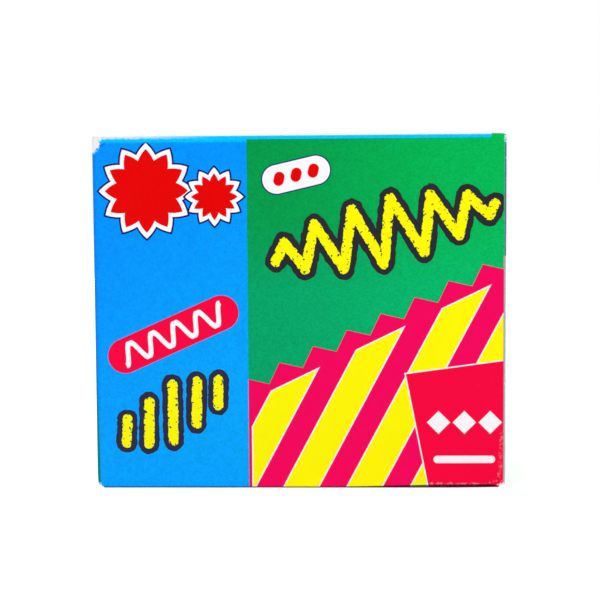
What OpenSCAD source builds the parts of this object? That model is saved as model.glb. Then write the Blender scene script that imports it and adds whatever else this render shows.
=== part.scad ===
// Folding carton of one hundred chalk sticks, with a tuck lid.
// Lengths are in millimetres. +X is the right, +Y the back and +Z up, and the origin is the
// middle of the base. The front wall faces -Y. The lid is hinged on the right wall, and its
// tuck flap goes down inside the left wall.

/* [Chalk sticks] */
// Diameter of a stick at its foot
stick_d = 9.5; // [8:0.1:11]
// How much thinner a stick is at its top
stick_draft = 0.3; // [0:0.05:0.8]
// Length of a stick
stick_len = 82.5; // [60:0.5:100]
// Radius of the rounded rim at both ends of a stick
rim_r = 0.8; // [0.3:0.1:1.5]
// Sticks side by side in a row, from the left wall to the right
sticks_across = 10; // [6:1:14]
// Play between neighbouring sticks
stick_play = 0.1; // [0.05:0.05:0.4]
// Play between the sticks and the board round them
wall_play = 0.15; // [0.1:0.05:0.6]
// Free height above the sticks
head_room = 0.5; // [0.3:0.05:4]

/* [Board] */
// Thickness of the paperboard
board = 0.45; // [0.3:0.05:0.6]
// Radius inside a fold
fold_in = 0.25; // [0.1:0.05:0.5]
// Air between two layers of board that lie on each other
layer_gap = 0.05; // [0.03:0.01:0.1]

/* [Lid] */
// Depth of the tuck flap, from the top of the lid to its tip
tuck_len = 14; // [8:0.5:20]
// Corner radius of the tuck flap
tuck_corner = 7; // [2:0.5:7]
// Length of the locking slit at each end of the tuck fold
lock_slit = 7; // [3:0.5:12]
// Play between the tuck fold and the left wall
tuck_gap = 0.2; // [0.15:0.05:0.4]
// Play between the tuck flap's ends and the front and back walls
tuck_end_play = 0.5; // [0.3:0.1:1]
// How far the lid's cut edges stay back from the front and back faces
lid_inset = 0.3; // [0.1:0.05:0.8]
// Radius on the outside of the hinge fold
hinge_r = 0.3; // [0.1:0.05:0.3]

/* [Dust flaps] */
// Depth of each dust flap, from the outer face of its wall
dust_len = 30; // [16:1:45]
// How far a dust flap's fold stays back from the right corner
dust_set_back = 3.7; // [2:0.1:8]
// Angle at which a dust flap narrows on its hinge side
dust_taper = 25; // [0:1:30]
// Depth of a dust flap's straight shoulder on the tuck side
shoulder_len = 9; // [5:0.5:12]
// Width of the step behind the shoulder
shoulder_step = 3; // [1:0.5:5]
// Corner radius of the dust flaps
dust_corner = 4; // [1:0.5:6]
// Clearance between a dust flap and the passing tuck flap
dust_clear = 0.35; // [0.3:0.05:1]

/* [Glued bottom and seam] */
// How far the bottom flaps' folds stay back from the corners
flap_set_back = 1.5; // [1.3:0.1:3]
// How much a bottom flap narrows on each side towards its free edge
flap_taper = 1.2; // [0:0.1:4]
// Gap between the outer bottom flap's free edge and the back face
outer_flap_gap = 1.2; // [0.8:0.1:4]
// Depth of the inner bottom flap
inner_flap_len = 58; // [30:1:85]
// Gap between the two side flaps where they nearly meet
side_flap_gap = 2; // [1:0.5:20]
// Width of the glue flap inside the back wall
glue_flap_w = 12; // [8:0.5:18]
// How far the glue flap's ends slope back
glue_flap_slope = 4; // [1:0.5:8]
// How far the back wall's cut edge stays back from the left face
seam_inset = 0.3; // [0.1:0.05:0.6]

/* [Hidden] */
$fn = 64;

// Rows of sticks, from front to back, one node each
row_count = 10;

// The block of sticks
pitch = stick_d + stick_play;
row_w = sticks_across * pitch;
rows_d = row_count * pitch;

// A fold and a stacked layer of board
fold_out = fold_in + board;
layer = board + layer_gap;

// The lid is stiff, so the tuck flap leans in by at least as much as its tip swings out,
// rounded up to a tenth
tuck_lean = ceil(10 * tuck_len * tuck_len / (2 * row_w)) / 10;

// Outside of the carton. Across: wall, tuck flap and its lean, sticks, wall. From front to
// back: wall, sticks, glue flap, wall. Up: three bottom layers, sticks, dust flaps, lid.
carton_w = 3 * board + tuck_gap + tuck_lean + 2 * wall_play + row_w;
carton_d = 3 * board + layer_gap + 2 * wall_play + rows_d;
base_top = 3 * layer;
carton_h = base_top + stick_len + head_room + layer + board;
left = -carton_w / 2;
right = carton_w / 2;
front = -carton_d / 2;
back = carton_d / 2;

// Heights where the plain walls start and end
wall_bottom = 2 * layer + fold_out;
wall_top = carton_h - layer;

// Left edge of the lid, inside the left wall
lid_left = left + board + tuck_gap;

// A dust flap's ends: clear of the tuck flap's inner side, which bows by a quarter of its lean
dust_left = lid_left + board + tuck_lean / 4 + dust_clear;
dust_right = right - dust_set_back;

// Length by which a cutting shape passes what it cuts, and by which walls that continue each
// other overlap
spare = 1;
// Width of the knife's cut beside a dust flap's fold
knife_gap = 0.1;
// Angle between the points of a flap's rounded corner, and of a stick's rim
corner_angle = 15;
rim_angle = 22.5;

// ---- outlines and folds -------------------------------------------------------------------

// Points of an arc round a centre, from one angle to another
function arc(centre, r, from, to, step = corner_angle) =
    let (n = ceil(abs(to - from) / step))
    [for (i = [0 : n]) let (a = from + (to - from) * i / n)
        centre + r * [cos(a), sin(a)]];

// Section of a right-angled fold, in the quarter between +X and +Y. A tongue half as thick as
// the board runs on into the flat board at each end, so that they join without a seam.
module fold_section() {
    intersection() {
        difference() {
            circle(r = fold_out);
            circle(r = fold_in);
        }
        square(fold_out);
    }
    for (end = [0, 90]) mirror([sin(end), -sin(end)])
        translate([fold_in + board / 4, -board / 4]) square([board / 2, board / 2]);
}

// A board folded in from a wall. The wall's outer face is the plane Y = 0, the wall stands on
// +Z, and the flap lies at Z = 0 and runs to Y = depth.
module folded_strip(width, depth) {
    translate([-width / 2, 0, 0]) rotate([90, 0, 90]) linear_extrude(width) {
        translate([fold_out, fold_out]) rotate(180) fold_section();
        translate([fold_out, 0]) square([depth - fold_out, board]);
    }
}

// A bottom flap, which narrows a little towards its free edge
module bottom_flap(width, depth) {
    intersection() {
        folded_strip(width, depth);
        translate([0, 0, -spare]) linear_extrude(fold_out + 2 * spare) polygon([
            [-width / 2, -spare],
            [width / 2, -spare],
            [width / 2, fold_out],
            [width / 2 - flap_taper, depth + spare],
            [-width / 2 + flap_taper, depth + spare],
            [-width / 2, fold_out]]);
    }
}

// Outline of a dust flap, seen from above with its wall along Y = 0: a straight shoulder and a
// step on the tuck side, and a slanted end on the hinge side
module dust_outline() {
    slant = tan(dust_taper);
    end = dust_len - dust_corner;
    inner_left = dust_left + shoulder_step;
    inner_right = dust_right - slant * dust_len;
    polygon(concat(
        [[dust_left, -spare],
            [dust_left, shoulder_len],
            [inner_left, shoulder_len + shoulder_step]],
        arc([inner_left + dust_corner, end], dust_corner, 180, 90),
        arc([inner_right - dust_corner, end], dust_corner, 90, dust_taper),
        [[dust_right + slant * spare, -spare]]));
}

// A dust flap with its fold, hanging below Z = 0
module dust_flap() {
    intersection() {
        mirror([0, 0, 1]) folded_strip(carton_w, dust_len);
        translate([0, 0, -fold_out - spare]) linear_extrude(fold_out + 2 * spare)
            dust_outline();
    }
}

// ---- carton -------------------------------------------------------------------------------

// Plan of the folded walls, from the fold of the glue flap round to the back wall's cut edge
module wall_plan() {
    seam_y = back - layer;
    // fold of the glue flap, and the left wall
    translate([left + fold_out, seam_y - fold_out]) rotate(90) fold_section();
    translate([left, front + fold_out]) square([board, seam_y - front - 2 * fold_out]);
    // front wall between its two folds
    translate([left + fold_out, front + fold_out]) rotate(180) fold_section();
    translate([left + fold_out, front]) square([carton_w - 2 * fold_out, board]);
    translate([right - fold_out, front + fold_out]) rotate(270) fold_section();
    // right wall, fold, and the back wall up to the seam
    translate([right - board, front + fold_out]) square([board, carton_d - 2 * fold_out]);
    translate([right - fold_out, back - fold_out]) fold_section();
    translate([left + seam_inset, back - board])
        square([carton_w - fold_out - seam_inset, board]);
}

// Walls, cut away where the dust flaps fold in from the front and the back
module walls() {
    difference() {
        translate([0, 0, wall_bottom]) linear_extrude(wall_top - wall_bottom) wall_plan();
        for (side = [0, 1]) mirror([0, side, 0])
            translate([dust_left - knife_gap, front - spare, wall_top - fold_out])
                cube([dust_right - dust_left + 2 * knife_gap, 2 * spare, 2 * spare]);
    }
}

// The front and back walls reach down past the side walls to their own bottom folds
module wall_skirts() {
    width = carton_w - 2 * fold_out;
    translate([left + fold_out, front, fold_out])
        cube([width, board, wall_bottom - fold_out + spare]);
    translate([left + fold_out, back - board, layer + fold_out])
        cube([width, board, wall_bottom - layer - fold_out + spare]);
}

// The left wall stands up to the lid's top, and its corners are cut off
module tuck_lip() {
    lip = layer;
    reach = carton_d / 2 - fold_out - layer;
    translate([left, 0, wall_top]) rotate([90, 0, 90]) linear_extrude(board) polygon([
        [-reach, -spare], [reach, -spare], [reach, 0], [reach - lip, lip],
        [-reach + lip, lip], [-reach, 0]]);
}

module glue_flap() {
    low = wall_bottom;
    high = wall_top;
    root = board;
    translate([left + fold_out, back - layer, 0]) rotate([90, 0, 0]) linear_extrude(board)
        polygon([
            [0, low],
            [root, low],
            [glue_flap_w, low + glue_flap_slope],
            [glue_flap_w, high - glue_flap_slope],
            [root, high],
            [0, high]]);
}

// Four glued bottom flaps: the outer one folds in from the front wall, the inner one from the
// back wall, and the side flaps lie on top of both
module bottom_flaps() {
    long = carton_w - 2 * flap_set_back;
    short = carton_d - 2 * (flap_set_back + layer);
    side_len = (carton_w - side_flap_gap) / 2;
    translate([0, front, 0]) bottom_flap(long, carton_d - outer_flap_gap);
    translate([0, back, layer]) rotate(180) bottom_flap(long, inner_flap_len);
    translate([left, 0, 2 * layer]) rotate(-90) bottom_flap(short, side_len);
    translate([right, 0, 2 * layer]) rotate(90) bottom_flap(short, side_len);
}

module dust_flaps() {
    for (side = [0, 1]) mirror([0, side, 0])
        translate([0, front, wall_top]) dust_flap();
}

module carton() {
    color("dodgerblue") {
        walls();
        wall_skirts();
        tuck_lip();
        glue_flap();
        bottom_flaps();
        dust_flaps();
    }
}

// ---- lid ----------------------------------------------------------------------------------

// Section of the lid's flat panel, rounded at the hinge fold on the right
module lid_section() {
    panel_left = lid_left + fold_out;
    translate([panel_left, carton_h - board])
        square([right - hinge_r - panel_left, board]);
    translate([right - hinge_r, carton_h - board]) square([hinge_r, board - hinge_r]);
    translate([right - hinge_r, carton_h - hinge_r]) intersection() {
        circle(r = hinge_r);
        square(hinge_r);
    }
}

// Outline of the tuck flap, seen from the left, with its fold along the top
module tuck_outline() {
    reach = carton_d / 2 - board - layer - tuck_end_play;
    low = -(tuck_len - fold_out);
    r = tuck_corner;
    polygon(concat(
        [[-reach, 0]],
        arc([-reach + r, low + r], r, 180, 270),
        arc([reach - r, low + r], r, 270, 360),
        [[reach, 0]]));
}

// The tuck flap leans in from the end of its fold, and its free corners are rounded
module tuck_flap() {
    drop = tuck_len - fold_out;
    lid_d = carton_d - 2 * lid_inset;
    fold_w = lid_d - 2 * lock_slit;
    translate([lid_left + fold_out, 0, carton_h - fold_out]) {
        translate([0, fold_w / 2, 0]) rotate([90, 0, 0]) linear_extrude(fold_w)
            rotate(90) fold_section();
        intersection() {
            translate([0, lid_d / 2, 0]) rotate([90, 0, 0]) linear_extrude(lid_d) polygon([
                [-fold_out, 0],
                [-fold_in, 0],
                [tuck_lean - fold_in, -drop],
                [tuck_lean - fold_out, -drop]]);
            translate([-fold_out - spare, 0, 0]) rotate([90, 0, 90])
                linear_extrude(fold_out + tuck_lean + 2 * spare) tuck_outline();
        }
    }
}

module lid() {
    lid_d = carton_d - 2 * lid_inset;
    color("deepskyblue") {
        translate([0, lid_d / 2, 0]) rotate([90, 0, 0]) linear_extrude(lid_d) lid_section();
        // straight ends of the panel beyond the locking slits
        for (side = [0, 1]) mirror([0, side, 0])
            translate([lid_left, lid_d / 2 - lock_slit, carton_h - board])
                cube([fold_out, lock_slit, board]);
        tuck_flap();
    }
}

// ---- chalk --------------------------------------------------------------------------------

// A moulded stick: slightly tapered, with a rounded rim at both ends
module chalk_stick() {
    foot_r = stick_d / 2;
    top_r = foot_r - stick_draft / 2;
    rotate_extrude() polygon(concat(
        [[0, 0]],
        arc([foot_r - rim_r, rim_r], rim_r, -90, 0, rim_angle),
        arc([top_r - rim_r, stick_len - rim_r], rim_r, 0, 90, rim_angle),
        [[0, stick_len]]));
}

// One row of sticks, counted from the front
module chalk_row(row) {
    first_x = right - board - wall_play - row_w + pitch / 2;
    row_y = front + board + wall_play + (row + 0.5) * pitch;
    color("yellow") for (i = [0 : sticks_across - 1])
        translate([first_x + i * pitch, row_y, base_top]) chalk_stick();
}

carton();
lid();
chalk_row(0);  // chalk_row_01
chalk_row(1);  // chalk_row_02
chalk_row(2);  // chalk_row_03
chalk_row(3);  // chalk_row_04
chalk_row(4);  // chalk_row_05
chalk_row(5);  // chalk_row_06
chalk_row(6);  // chalk_row_07
chalk_row(7);  // chalk_row_08
chalk_row(8);  // chalk_row_09
chalk_row(9);  // chalk_row_10
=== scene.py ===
# %% [markdown]
# # A folding carton of chalk, dressed in Blender
# The object is a tuck-lid carton of thin paperboard that holds one hundred sticks of yellow
# chalk. The frame that is loaded here comes from its CAD model: one node for the carton, one
# for the lid, and one for each row of ten sticks. Sizes are written in millimetres, as a box
# maker writes them, and are turned to metres where Blender needs them.

# %% Load the frame
import math

import bmesh
import bpy
from mathutils import Matrix, Vector


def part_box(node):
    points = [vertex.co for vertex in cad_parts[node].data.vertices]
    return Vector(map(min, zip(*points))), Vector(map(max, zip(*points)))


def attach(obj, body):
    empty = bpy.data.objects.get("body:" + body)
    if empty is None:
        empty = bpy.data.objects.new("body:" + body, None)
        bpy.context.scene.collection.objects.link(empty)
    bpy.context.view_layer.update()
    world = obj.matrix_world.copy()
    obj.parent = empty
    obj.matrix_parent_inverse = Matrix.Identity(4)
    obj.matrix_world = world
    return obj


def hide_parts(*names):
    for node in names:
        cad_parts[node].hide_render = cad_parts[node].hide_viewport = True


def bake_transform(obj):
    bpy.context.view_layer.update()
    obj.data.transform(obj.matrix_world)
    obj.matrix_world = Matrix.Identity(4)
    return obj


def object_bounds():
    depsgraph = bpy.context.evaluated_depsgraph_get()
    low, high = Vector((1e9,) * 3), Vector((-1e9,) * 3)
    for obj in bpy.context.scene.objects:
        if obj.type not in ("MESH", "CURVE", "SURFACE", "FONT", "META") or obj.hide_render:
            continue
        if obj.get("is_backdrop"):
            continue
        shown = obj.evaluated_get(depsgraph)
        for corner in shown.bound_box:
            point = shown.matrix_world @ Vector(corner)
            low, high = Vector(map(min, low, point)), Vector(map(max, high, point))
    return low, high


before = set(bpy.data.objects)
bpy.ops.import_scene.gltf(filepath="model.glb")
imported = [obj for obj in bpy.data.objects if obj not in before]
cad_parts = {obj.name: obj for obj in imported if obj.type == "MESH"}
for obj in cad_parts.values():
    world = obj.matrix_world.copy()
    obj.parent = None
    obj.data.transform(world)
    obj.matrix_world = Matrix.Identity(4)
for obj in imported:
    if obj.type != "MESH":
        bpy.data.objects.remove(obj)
cad_low, cad_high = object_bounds()
scene = bpy.context.scene
# Standard shows a colour as it is written
scene.view_settings.view_transform = "Standard"
print("nodes:", ", ".join(sorted(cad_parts)))

# %% [markdown]
# ## Sizes
# A carton is drawn as a flat blank with creases. Three numbers rule it: the thickness of the
# board, the radius that the board takes round a crease, and the height of one layer where a
# flap lies on another. The outside could be typed in again here, but it is read from the
# frame, so that every piece fits the CAD model without any fitting by eye. A hair is what
# two lengths may differ by and still count as one.

# %% Sizes of the carton
MM = 0.001
LEFT, FRONT, BASE = (value / MM for value in cad_low)
RIGHT, BACK, TOP = (value / MM for value in cad_high)
BOARD = 0.45
FOLD = 0.7
LAYER = 0.5
HAIR = 0.01


def at(x, y, z):
    """A place or a move given in millimetres, as a vector in metres."""
    return Vector((x, y, z)) * MM


print(f"outside {RIGHT - LEFT:.2f} x {BACK - FRONT:.2f} x {TOP - BASE:.2f} mm")

# %% [markdown]
# ## Camera
# Each panel of a carton is a drawing of its own, so it is best seen from in front of one face.
# The camera stands a little to the right of the middle and below the top edge: the front face
# fills the frame, and the lid is only a thin line. A camera can be aimed by hand in a window.
# With none open, it is placed by a point and three angles.

# %% Camera
CAMERA_PLACE = (9.9, -359.7, 67.7)
CAMERA_PITCH, CAMERA_YAW, CAMERA_ROLL = 4.049, 1.798, -0.374
CAMERA_LENS = 78
SENSOR_WIDTH = 36
NEAREST_SEEN = 10

camera = bpy.data.objects.new("camera", bpy.data.cameras.new("camera"))
scene.collection.objects.link(camera)
turn = (
    Matrix.Rotation(math.radians(CAMERA_YAW), 4, "Z")
    @ Matrix.Rotation(math.radians(90 - CAMERA_PITCH), 4, "X")
    @ Matrix.Rotation(math.radians(CAMERA_ROLL), 4, "Z")
)
camera.matrix_world = Matrix.Translation(at(*CAMERA_PLACE)) @ turn
camera.data.lens = CAMERA_LENS
camera.data.sensor_width = SENSOR_WIDTH
camera.data.clip_start = NEAREST_SEEN * MM
scene.camera = camera
print(f"the camera stands {FRONT - CAMERA_PLACE[1]:.0f} mm in front of the carton")

# %% [markdown]
# ## Colours and nodes
# A printer names a colour by its code on a screen, but light adds up in linear numbers, so one
# function turns the code into what Blender mixes. Each material is a net of nodes. It could be
# wired by hand in a window; here one function adds a node of any kind with its settings and
# its links, so that a net reads from the top down, like a recipe.

# %% One function for colours and one for nodes


def ink(colour):
    """An sRGB colour such as #ff8800 as linear RGBA; a node's colour stays as it is."""
    if not isinstance(colour, str):
        return colour
    values = [int(colour[i:i + 2], 16) / 255 for i in (1, 3, 5)]
    # the curve of sRGB: straight near black, and a power above
    linear = [v / 12.92 if v <= 0.04045 else ((v + 0.055) / 1.055) ** 2.4 for v in values]
    return (*linear, 1.0)


def add(tree, kind, inputs=None, out=0, **settings):
    """Adds a node with its settings, fills or links its inputs, and gives one output."""
    node = tree.nodes.new("ShaderNode" + kind)
    for name, value in settings.items():
        setattr(node, name, value)
    for socket, value in (inputs or {}).items():
        if isinstance(value, bpy.types.NodeSocket):
            tree.links.new(value, node.inputs[socket])
        else:
            node.inputs[socket].default_value = value
    return node.outputs[out] if node.outputs else node


def new_material(name):
    """An empty material and its tree of nodes."""
    material = bpy.data.materials.new(name)
    material.use_nodes = True
    material.node_tree.nodes.clear()
    return material, material.node_tree


print("an orange of #ff8800 is mixed as", [round(value, 3) for value in ink("#ff8800")])

# %% [markdown]
# ## A white table
# The carton stands on a matt white table. More lamps would turn the table white, but they would
# bleach the carton too. So the rays that see the table itself, straight from the camera, in a
# gloss or through glass, find it a little brighter than it is lit, and the light that falls on
# the carton stays plain. The lift is weakest near the carton, which keeps its shadow.

# %% Table
TABLE_SIZE = 6000
TABLE_WHITE = "#f4f4f4"
LIFT_NEAR, LIFT_FAR = 0.5, 1.0
NEAR_METRES, FAR_METRES = 0.25, 1.0

bpy.ops.object.select_all(action="DESELECT")
bpy.ops.mesh.primitive_plane_add(size=TABLE_SIZE * MM, location=at(0, 0, BASE))
floor = bpy.context.object
floor.name = "floor"
floor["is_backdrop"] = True


def seen_itself(tree):
    """1 for rays that see the background itself: straight, in a gloss or through glass."""
    rays = add(tree, "LightPath").node.outputs
    seen = add(tree, "Math", {0: rays["Is Camera Ray"], 1: rays["Is Glossy Ray"]},
               operation="MAXIMUM")
    return add(tree, "Math", {0: seen, 1: rays["Is Transmission Ray"]}, operation="MAXIMUM")


matte_table, tree = new_material("matte_white_table")
paint = add(tree, "BsdfDiffuse", {"Color": ink(TABLE_WHITE)})
away = add(tree, "VectorMath", {0: add(tree, "TexCoord", out="Object")}, out="Value",
           operation="LENGTH")
white = add(tree, "MapRange", {"Value": away, "From Min": NEAR_METRES, "From Max": FAR_METRES,
                               "To Min": LIFT_NEAR, "To Max": LIFT_FAR})
lift = add(tree, "Math", {0: seen_itself(tree), 1: white}, operation="MULTIPLY")
glow = add(tree, "Emission", {"Color": ink("#ffffff"), "Strength": lift})
add(tree, "OutputMaterial", {"Surface": add(tree, "AddShader", {0: paint, 1: glow})})
floor.data.materials.append(matte_table)
print(f"table {TABLE_SIZE / 1000:.0f} m wide")

# %% [markdown]
# ## A white room
# The room is the world's colour. It could light the whole scene, but light from everywhere
# leaves a box without shape. So it looks white where it is seen itself, and lights the carton
# with only a small part of that, to open the shadows.

# %% Room
ROOM_FILL = 0.12

scene.world = bpy.data.worlds.new("white_studio")
scene.world.use_nodes = True
tree = scene.world.node_tree
tree.nodes.clear()
strength = add(tree, "MapRange", {"Value": seen_itself(tree), "To Min": ROOM_FILL, "To Max": 1.0})
sky = add(tree, "Background", {"Color": ink("#ffffff"), "Strength": strength})
add(tree, "OutputWorld", {"Surface": sky})
print(f"the room lights the carton with {ROOM_FILL:.0%} of its white")

# %% [markdown]
# ## Lamps
# A print shows best in soft and even light from both sides, so that no lamp shows in the
# varnish. Point lamps would leave hard spots there. Four large area lamps are used, and their
# strength is set so that a colour renders about as it is written.

# %% Lamps
LAMPS = {
    "softbox_left": {"place": (-620, -620, 520), "size": 520, "watts": 4.8},
    "softbox_right": {"place": (700, -560, 480), "size": 520, "watts": 5.0},
    "softbox_top": {"place": (0, 60, 900), "size": 700, "watts": 2.2},
    "softbox_back": {"place": (-150, 800, 520), "size": 520, "watts": 4.4},
}
for name, lamp in LAMPS.items():
    data = bpy.data.lights.new(name, "AREA")
    data.size = lamp["size"] * MM
    data.energy = lamp["watts"]
    light = bpy.data.objects.new(name, data)
    scene.collection.objects.link(light)
    light.location = at(*lamp["place"])
    aim = at(0, 0, TOP / 2) - light.location
    light.rotation_euler = aim.to_track_quat("-Z", "Y").to_euler()
print("lamps:", ", ".join(LAMPS))

# %% [markdown]
# ## Working on a sheet
# Board could be modelled as a box inside a box, but every fold would then be made twice. So it
# is modelled as a sheet without thickness, the outside of the carton, and gets its thickness
# at the end. The helpers below do what a hand does in edit mode: open a sheet, pick some edges
# or corners by their place, and pull them out into a new strip.

# %% Open a sheet and pick its parts


def edit(piece):
    """Makes piece the only selected object and opens it in edit mode."""
    bpy.ops.object.select_all(action="DESELECT")
    piece.select_set(True)
    bpy.context.view_layer.objects.active = piece
    bpy.ops.object.mode_set(mode="EDIT")


def new_sheet(name, middle, size, turn=(0, 0, 0)):
    """A plane of a size in mm round a middle, left open in edit mode."""
    bpy.ops.object.select_all(action="DESELECT")
    bpy.ops.mesh.primitive_plane_add(size=MM, location=at(*middle), rotation=turn)
    piece = bpy.context.object
    piece.name = name
    bpy.ops.object.transform_apply(location=True, rotation=True, scale=True)
    edit(piece)
    bpy.ops.mesh.select_all(action="SELECT")
    bpy.ops.transform.resize(value=[side or 1 for side in size], center_override=at(*middle))
    return piece


def pick(kind, test):
    """Selects the edges, faces or corners whose every corner passes the test, in mm."""
    piece = bpy.context.object
    mesh = bmesh.from_edit_mesh(piece.data)
    bpy.ops.mesh.select_all(action="DESELECT")
    bpy.ops.mesh.select_mode(type={"edges": "EDGE", "faces": "FACE", "verts": "VERT"}[kind])
    for part in getattr(mesh, kind):
        corners = [part] if kind == "verts" else part.verts
        if all(test(*(corner.co / MM)) for corner in corners):
            part.select_set(True)
    bmesh.update_edit_mesh(piece.data)


def near(value, target, slack=0.02):
    """True where two lengths in mm agree."""
    return abs(value - target) < slack


def pull(x, y, z):
    """Extrudes the selected edges by a move in mm."""
    bpy.ops.mesh.extrude_region_move(TRANSFORM_OT_translate={"value": at(x, y, z)})


def faces_of(piece):
    """How many faces a sheet has while it is open."""
    return len(bmesh.from_edit_mesh(piece.data).faces)


print("5.01 mm counts as 5 mm:", near(5.01, 5))

# %% [markdown]
# ## The carton's walls
# On a real carton one blank wraps round the four sides and is glued to itself. Each wall could
# be a plane of its own, but the creases between them would be gaps. So the sheet starts as a
# plane for the front wall. Its edges are pulled back for the side walls, the right one on round
# the back, and the left one into a narrow glue flap that lies inside the back wall. Bevelling
# the upright edges rolls the creases.

# %% Walls
FOLD_STEPS = 5
QUARTER = math.pi / 2
WALL_LOW = 2 * LAYER + FOLD
WALL_HIGH = TOP - LAYER
SEAM_Y = BACK - LAYER
SEAM_INSET = 0.3
GLUE_ROOT = FOLD + BOARD
GLUE_FLAP = 12
GLUE_SLOPE = 4

carton = new_sheet("carton_board", (0, FRONT, (WALL_LOW + WALL_HIGH) / 2),
                   (RIGHT - LEFT, 0, WALL_HIGH - WALL_LOW), turn=(QUARTER, 0, 0))
pick("edges", lambda x, y, z: near(x, RIGHT))
pull(0, BACK - FRONT, 0)
pull(LEFT + SEAM_INSET - RIGHT, 0, 0)
pick("edges", lambda x, y, z: near(x, LEFT) and near(y, FRONT))
pull(0, SEAM_Y - FRONT, 0)
pull(GLUE_ROOT, 0, 0)
corners = ((LEFT, FRONT), (RIGHT, FRONT), (RIGHT, BACK), (LEFT, SEAM_Y))
pick("edges", lambda x, y, z: any(near(x, a) and near(y, b) for a, b in corners))
bpy.ops.mesh.bevel(offset=FOLD * MM, segments=FOLD_STEPS, affect="EDGES")
pick("edges", lambda x, y, z: near(x, LEFT + GLUE_ROOT) and near(y, SEAM_Y))
pull(GLUE_FLAP - BOARD, 0, 0)
glue_scale = 1 - 2 * GLUE_SLOPE / (WALL_HIGH - WALL_LOW)
bpy.ops.transform.resize(
    value=(1, 1, glue_scale), center_override=at(0, 0, (WALL_LOW + WALL_HIGH) / 2))
print("walls:", faces_of(carton), "faces")

# %% [markdown]
# ## Dust flaps
# Under the lid two flaps fold in from the front and the back wall and keep the chalk dust in.
# They could be laid inside as pieces of their own, but on the real carton the wall's board runs
# on into them over a crease. So the top edge of the wall is rolled over with the Spin tool,
# whose strip of narrow faces is the rounded crease, and then pulled inwards.

# %% Roll and cut


def roll(centre, axis, angle=QUARTER):
    """Rolls the selected edges round a crease, as the Spin tool does."""
    bpy.ops.mesh.spin(steps=FOLD_STEPS, angle=angle, center=at(*centre), axis=axis)


def cut(place, normal, clear=False):
    """Cuts the selected faces along a plane, and can drop what lies beyond it."""
    bpy.ops.mesh.bisect(plane_co=at(*place), plane_no=normal, clear_outer=clear)


def cut_all(place, normal):
    """Cuts the whole sheet along a plane."""
    bpy.ops.mesh.select_all(action="SELECT")
    cut(place, normal)


DUST_LEFT = LEFT + 1.725
DUST_RIGHT = RIGHT - 3.7
CREASE_Z = WALL_HIGH - FOLD
cut_all((0, 0, CREASE_Z), (0, 0, 1))
for x in (DUST_LEFT, DUST_RIGHT):
    cut_all((x, 0, 0), (1, 0, 0))
print(f"each dust flap is {DUST_RIGHT - DUST_LEFT:.2f} mm wide at its crease")

# %% [markdown]
# ### The shape of a dust flap
# On the tuck side a flap has a straight shoulder and a step, which the lid's slits lock behind.
# On the hinge side it is cut at a slant, so that the lid clears it as it swings. Its free
# corners are rounded. Beside the flap the front wall isn't folded, and its cut edge stands a
# little above the crease.

# %% Dust flaps
DUST_DEPTH = 30
DUST_SLANT = 25
SHOULDER = 9
SHOULDER_STEP = 3
DUST_CORNER = 4
CORNER_STEPS = 6
CORNER_STANDS = 0.12


def dust_flap(side):
    """Folds a dust flap in from the front wall (side -1) or the back wall (side 1)."""
    wall = side * BACK
    inward = -side
    pick("faces", lambda x, y, z: near(y, wall) and z > CREASE_Z - HAIR
         and DUST_LEFT - HAIR < x < DUST_RIGHT + HAIR)
    bpy.ops.mesh.delete(type="FACE")
    pick("edges", lambda x, y, z: near(y, wall) and near(z, CREASE_Z)
         and DUST_LEFT - HAIR < x < DUST_RIGHT + HAIR)
    roll((0, wall + inward * FOLD, CREASE_Z), (inward, 0, 0))
    pull(0, inward * (SHOULDER - FOLD), 0)
    pull(0, inward * SHOULDER_STEP, 0)
    step_y = wall + inward * (SHOULDER + SHOULDER_STEP)
    pick("verts", lambda x, y, z: near(y, step_y) and near(x, DUST_LEFT) and z > CREASE_Z)
    bpy.ops.transform.translate(value=at(SHOULDER_STEP, 0, 0))
    pick("edges", lambda x, y, z: near(y, step_y) and z > CREASE_Z and x < DUST_RIGHT + 1)
    pull(0, inward * (DUST_DEPTH - SHOULDER - SHOULDER_STEP), 0)
    pick("faces", lambda x, y, z: near(z, WALL_HIGH)
         and FOLD - HAIR < inward * (y - wall) < DUST_DEPTH + 1)
    slant = math.radians(DUST_SLANT)
    cut((DUST_RIGHT, wall + inward * FOLD, 0),
        (math.cos(slant), inward * math.sin(slant), 0), clear=True)
    tip_y = wall + inward * DUST_DEPTH
    pick("verts", lambda x, y, z: near(y, tip_y) and near(z, WALL_HIGH))
    bpy.ops.mesh.bevel(offset=DUST_CORNER * MM, segments=CORNER_STEPS, affect="VERTICES")


for side in (-1, 1):
    dust_flap(side)
pick("verts", lambda x, y, z: near(z, WALL_HIGH) and near(y, FRONT) and x > DUST_RIGHT - HAIR)
bpy.ops.transform.translate(value=at(0, 0, CORNER_STANDS))
print("with dust flaps:", faces_of(carton), "faces")

# %% [markdown]
# ## Glued bottom
# A carton of chalk is heavy, so its bottom is glued: the flap of the front wall lies outermost,
# the back wall's flap lies on it, and two side flaps meet inside. One flat bottom would look
# the same from below, but not from inside or along the edges. Each flap is one layer higher
# than the one below, so its wall ends one layer higher too, and the walls are cut for that.

# %% Ends of the walls
ROOT_INSET = 1.5
FRONT_INSET = 1.0
CORNER_LIFT = 0.4
BOTTOM_FLAPS = {
    "front": {"out": (0, -1), "layer": 0, "root": RIGHT - FRONT_INSET, "depth": 96.5},
    "back": {"out": (0, 1), "layer": 1, "root": RIGHT - ROOT_INSET, "depth": 58},
    "left": {"out": (-1, 0), "layer": 2, "root": BACK - ROOT_INSET - LAYER, "depth": 48.475},
    "right": {"out": (1, 0), "layer": 2, "root": BACK - ROOT_INSET - LAYER, "depth": 48.475},
}

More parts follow.
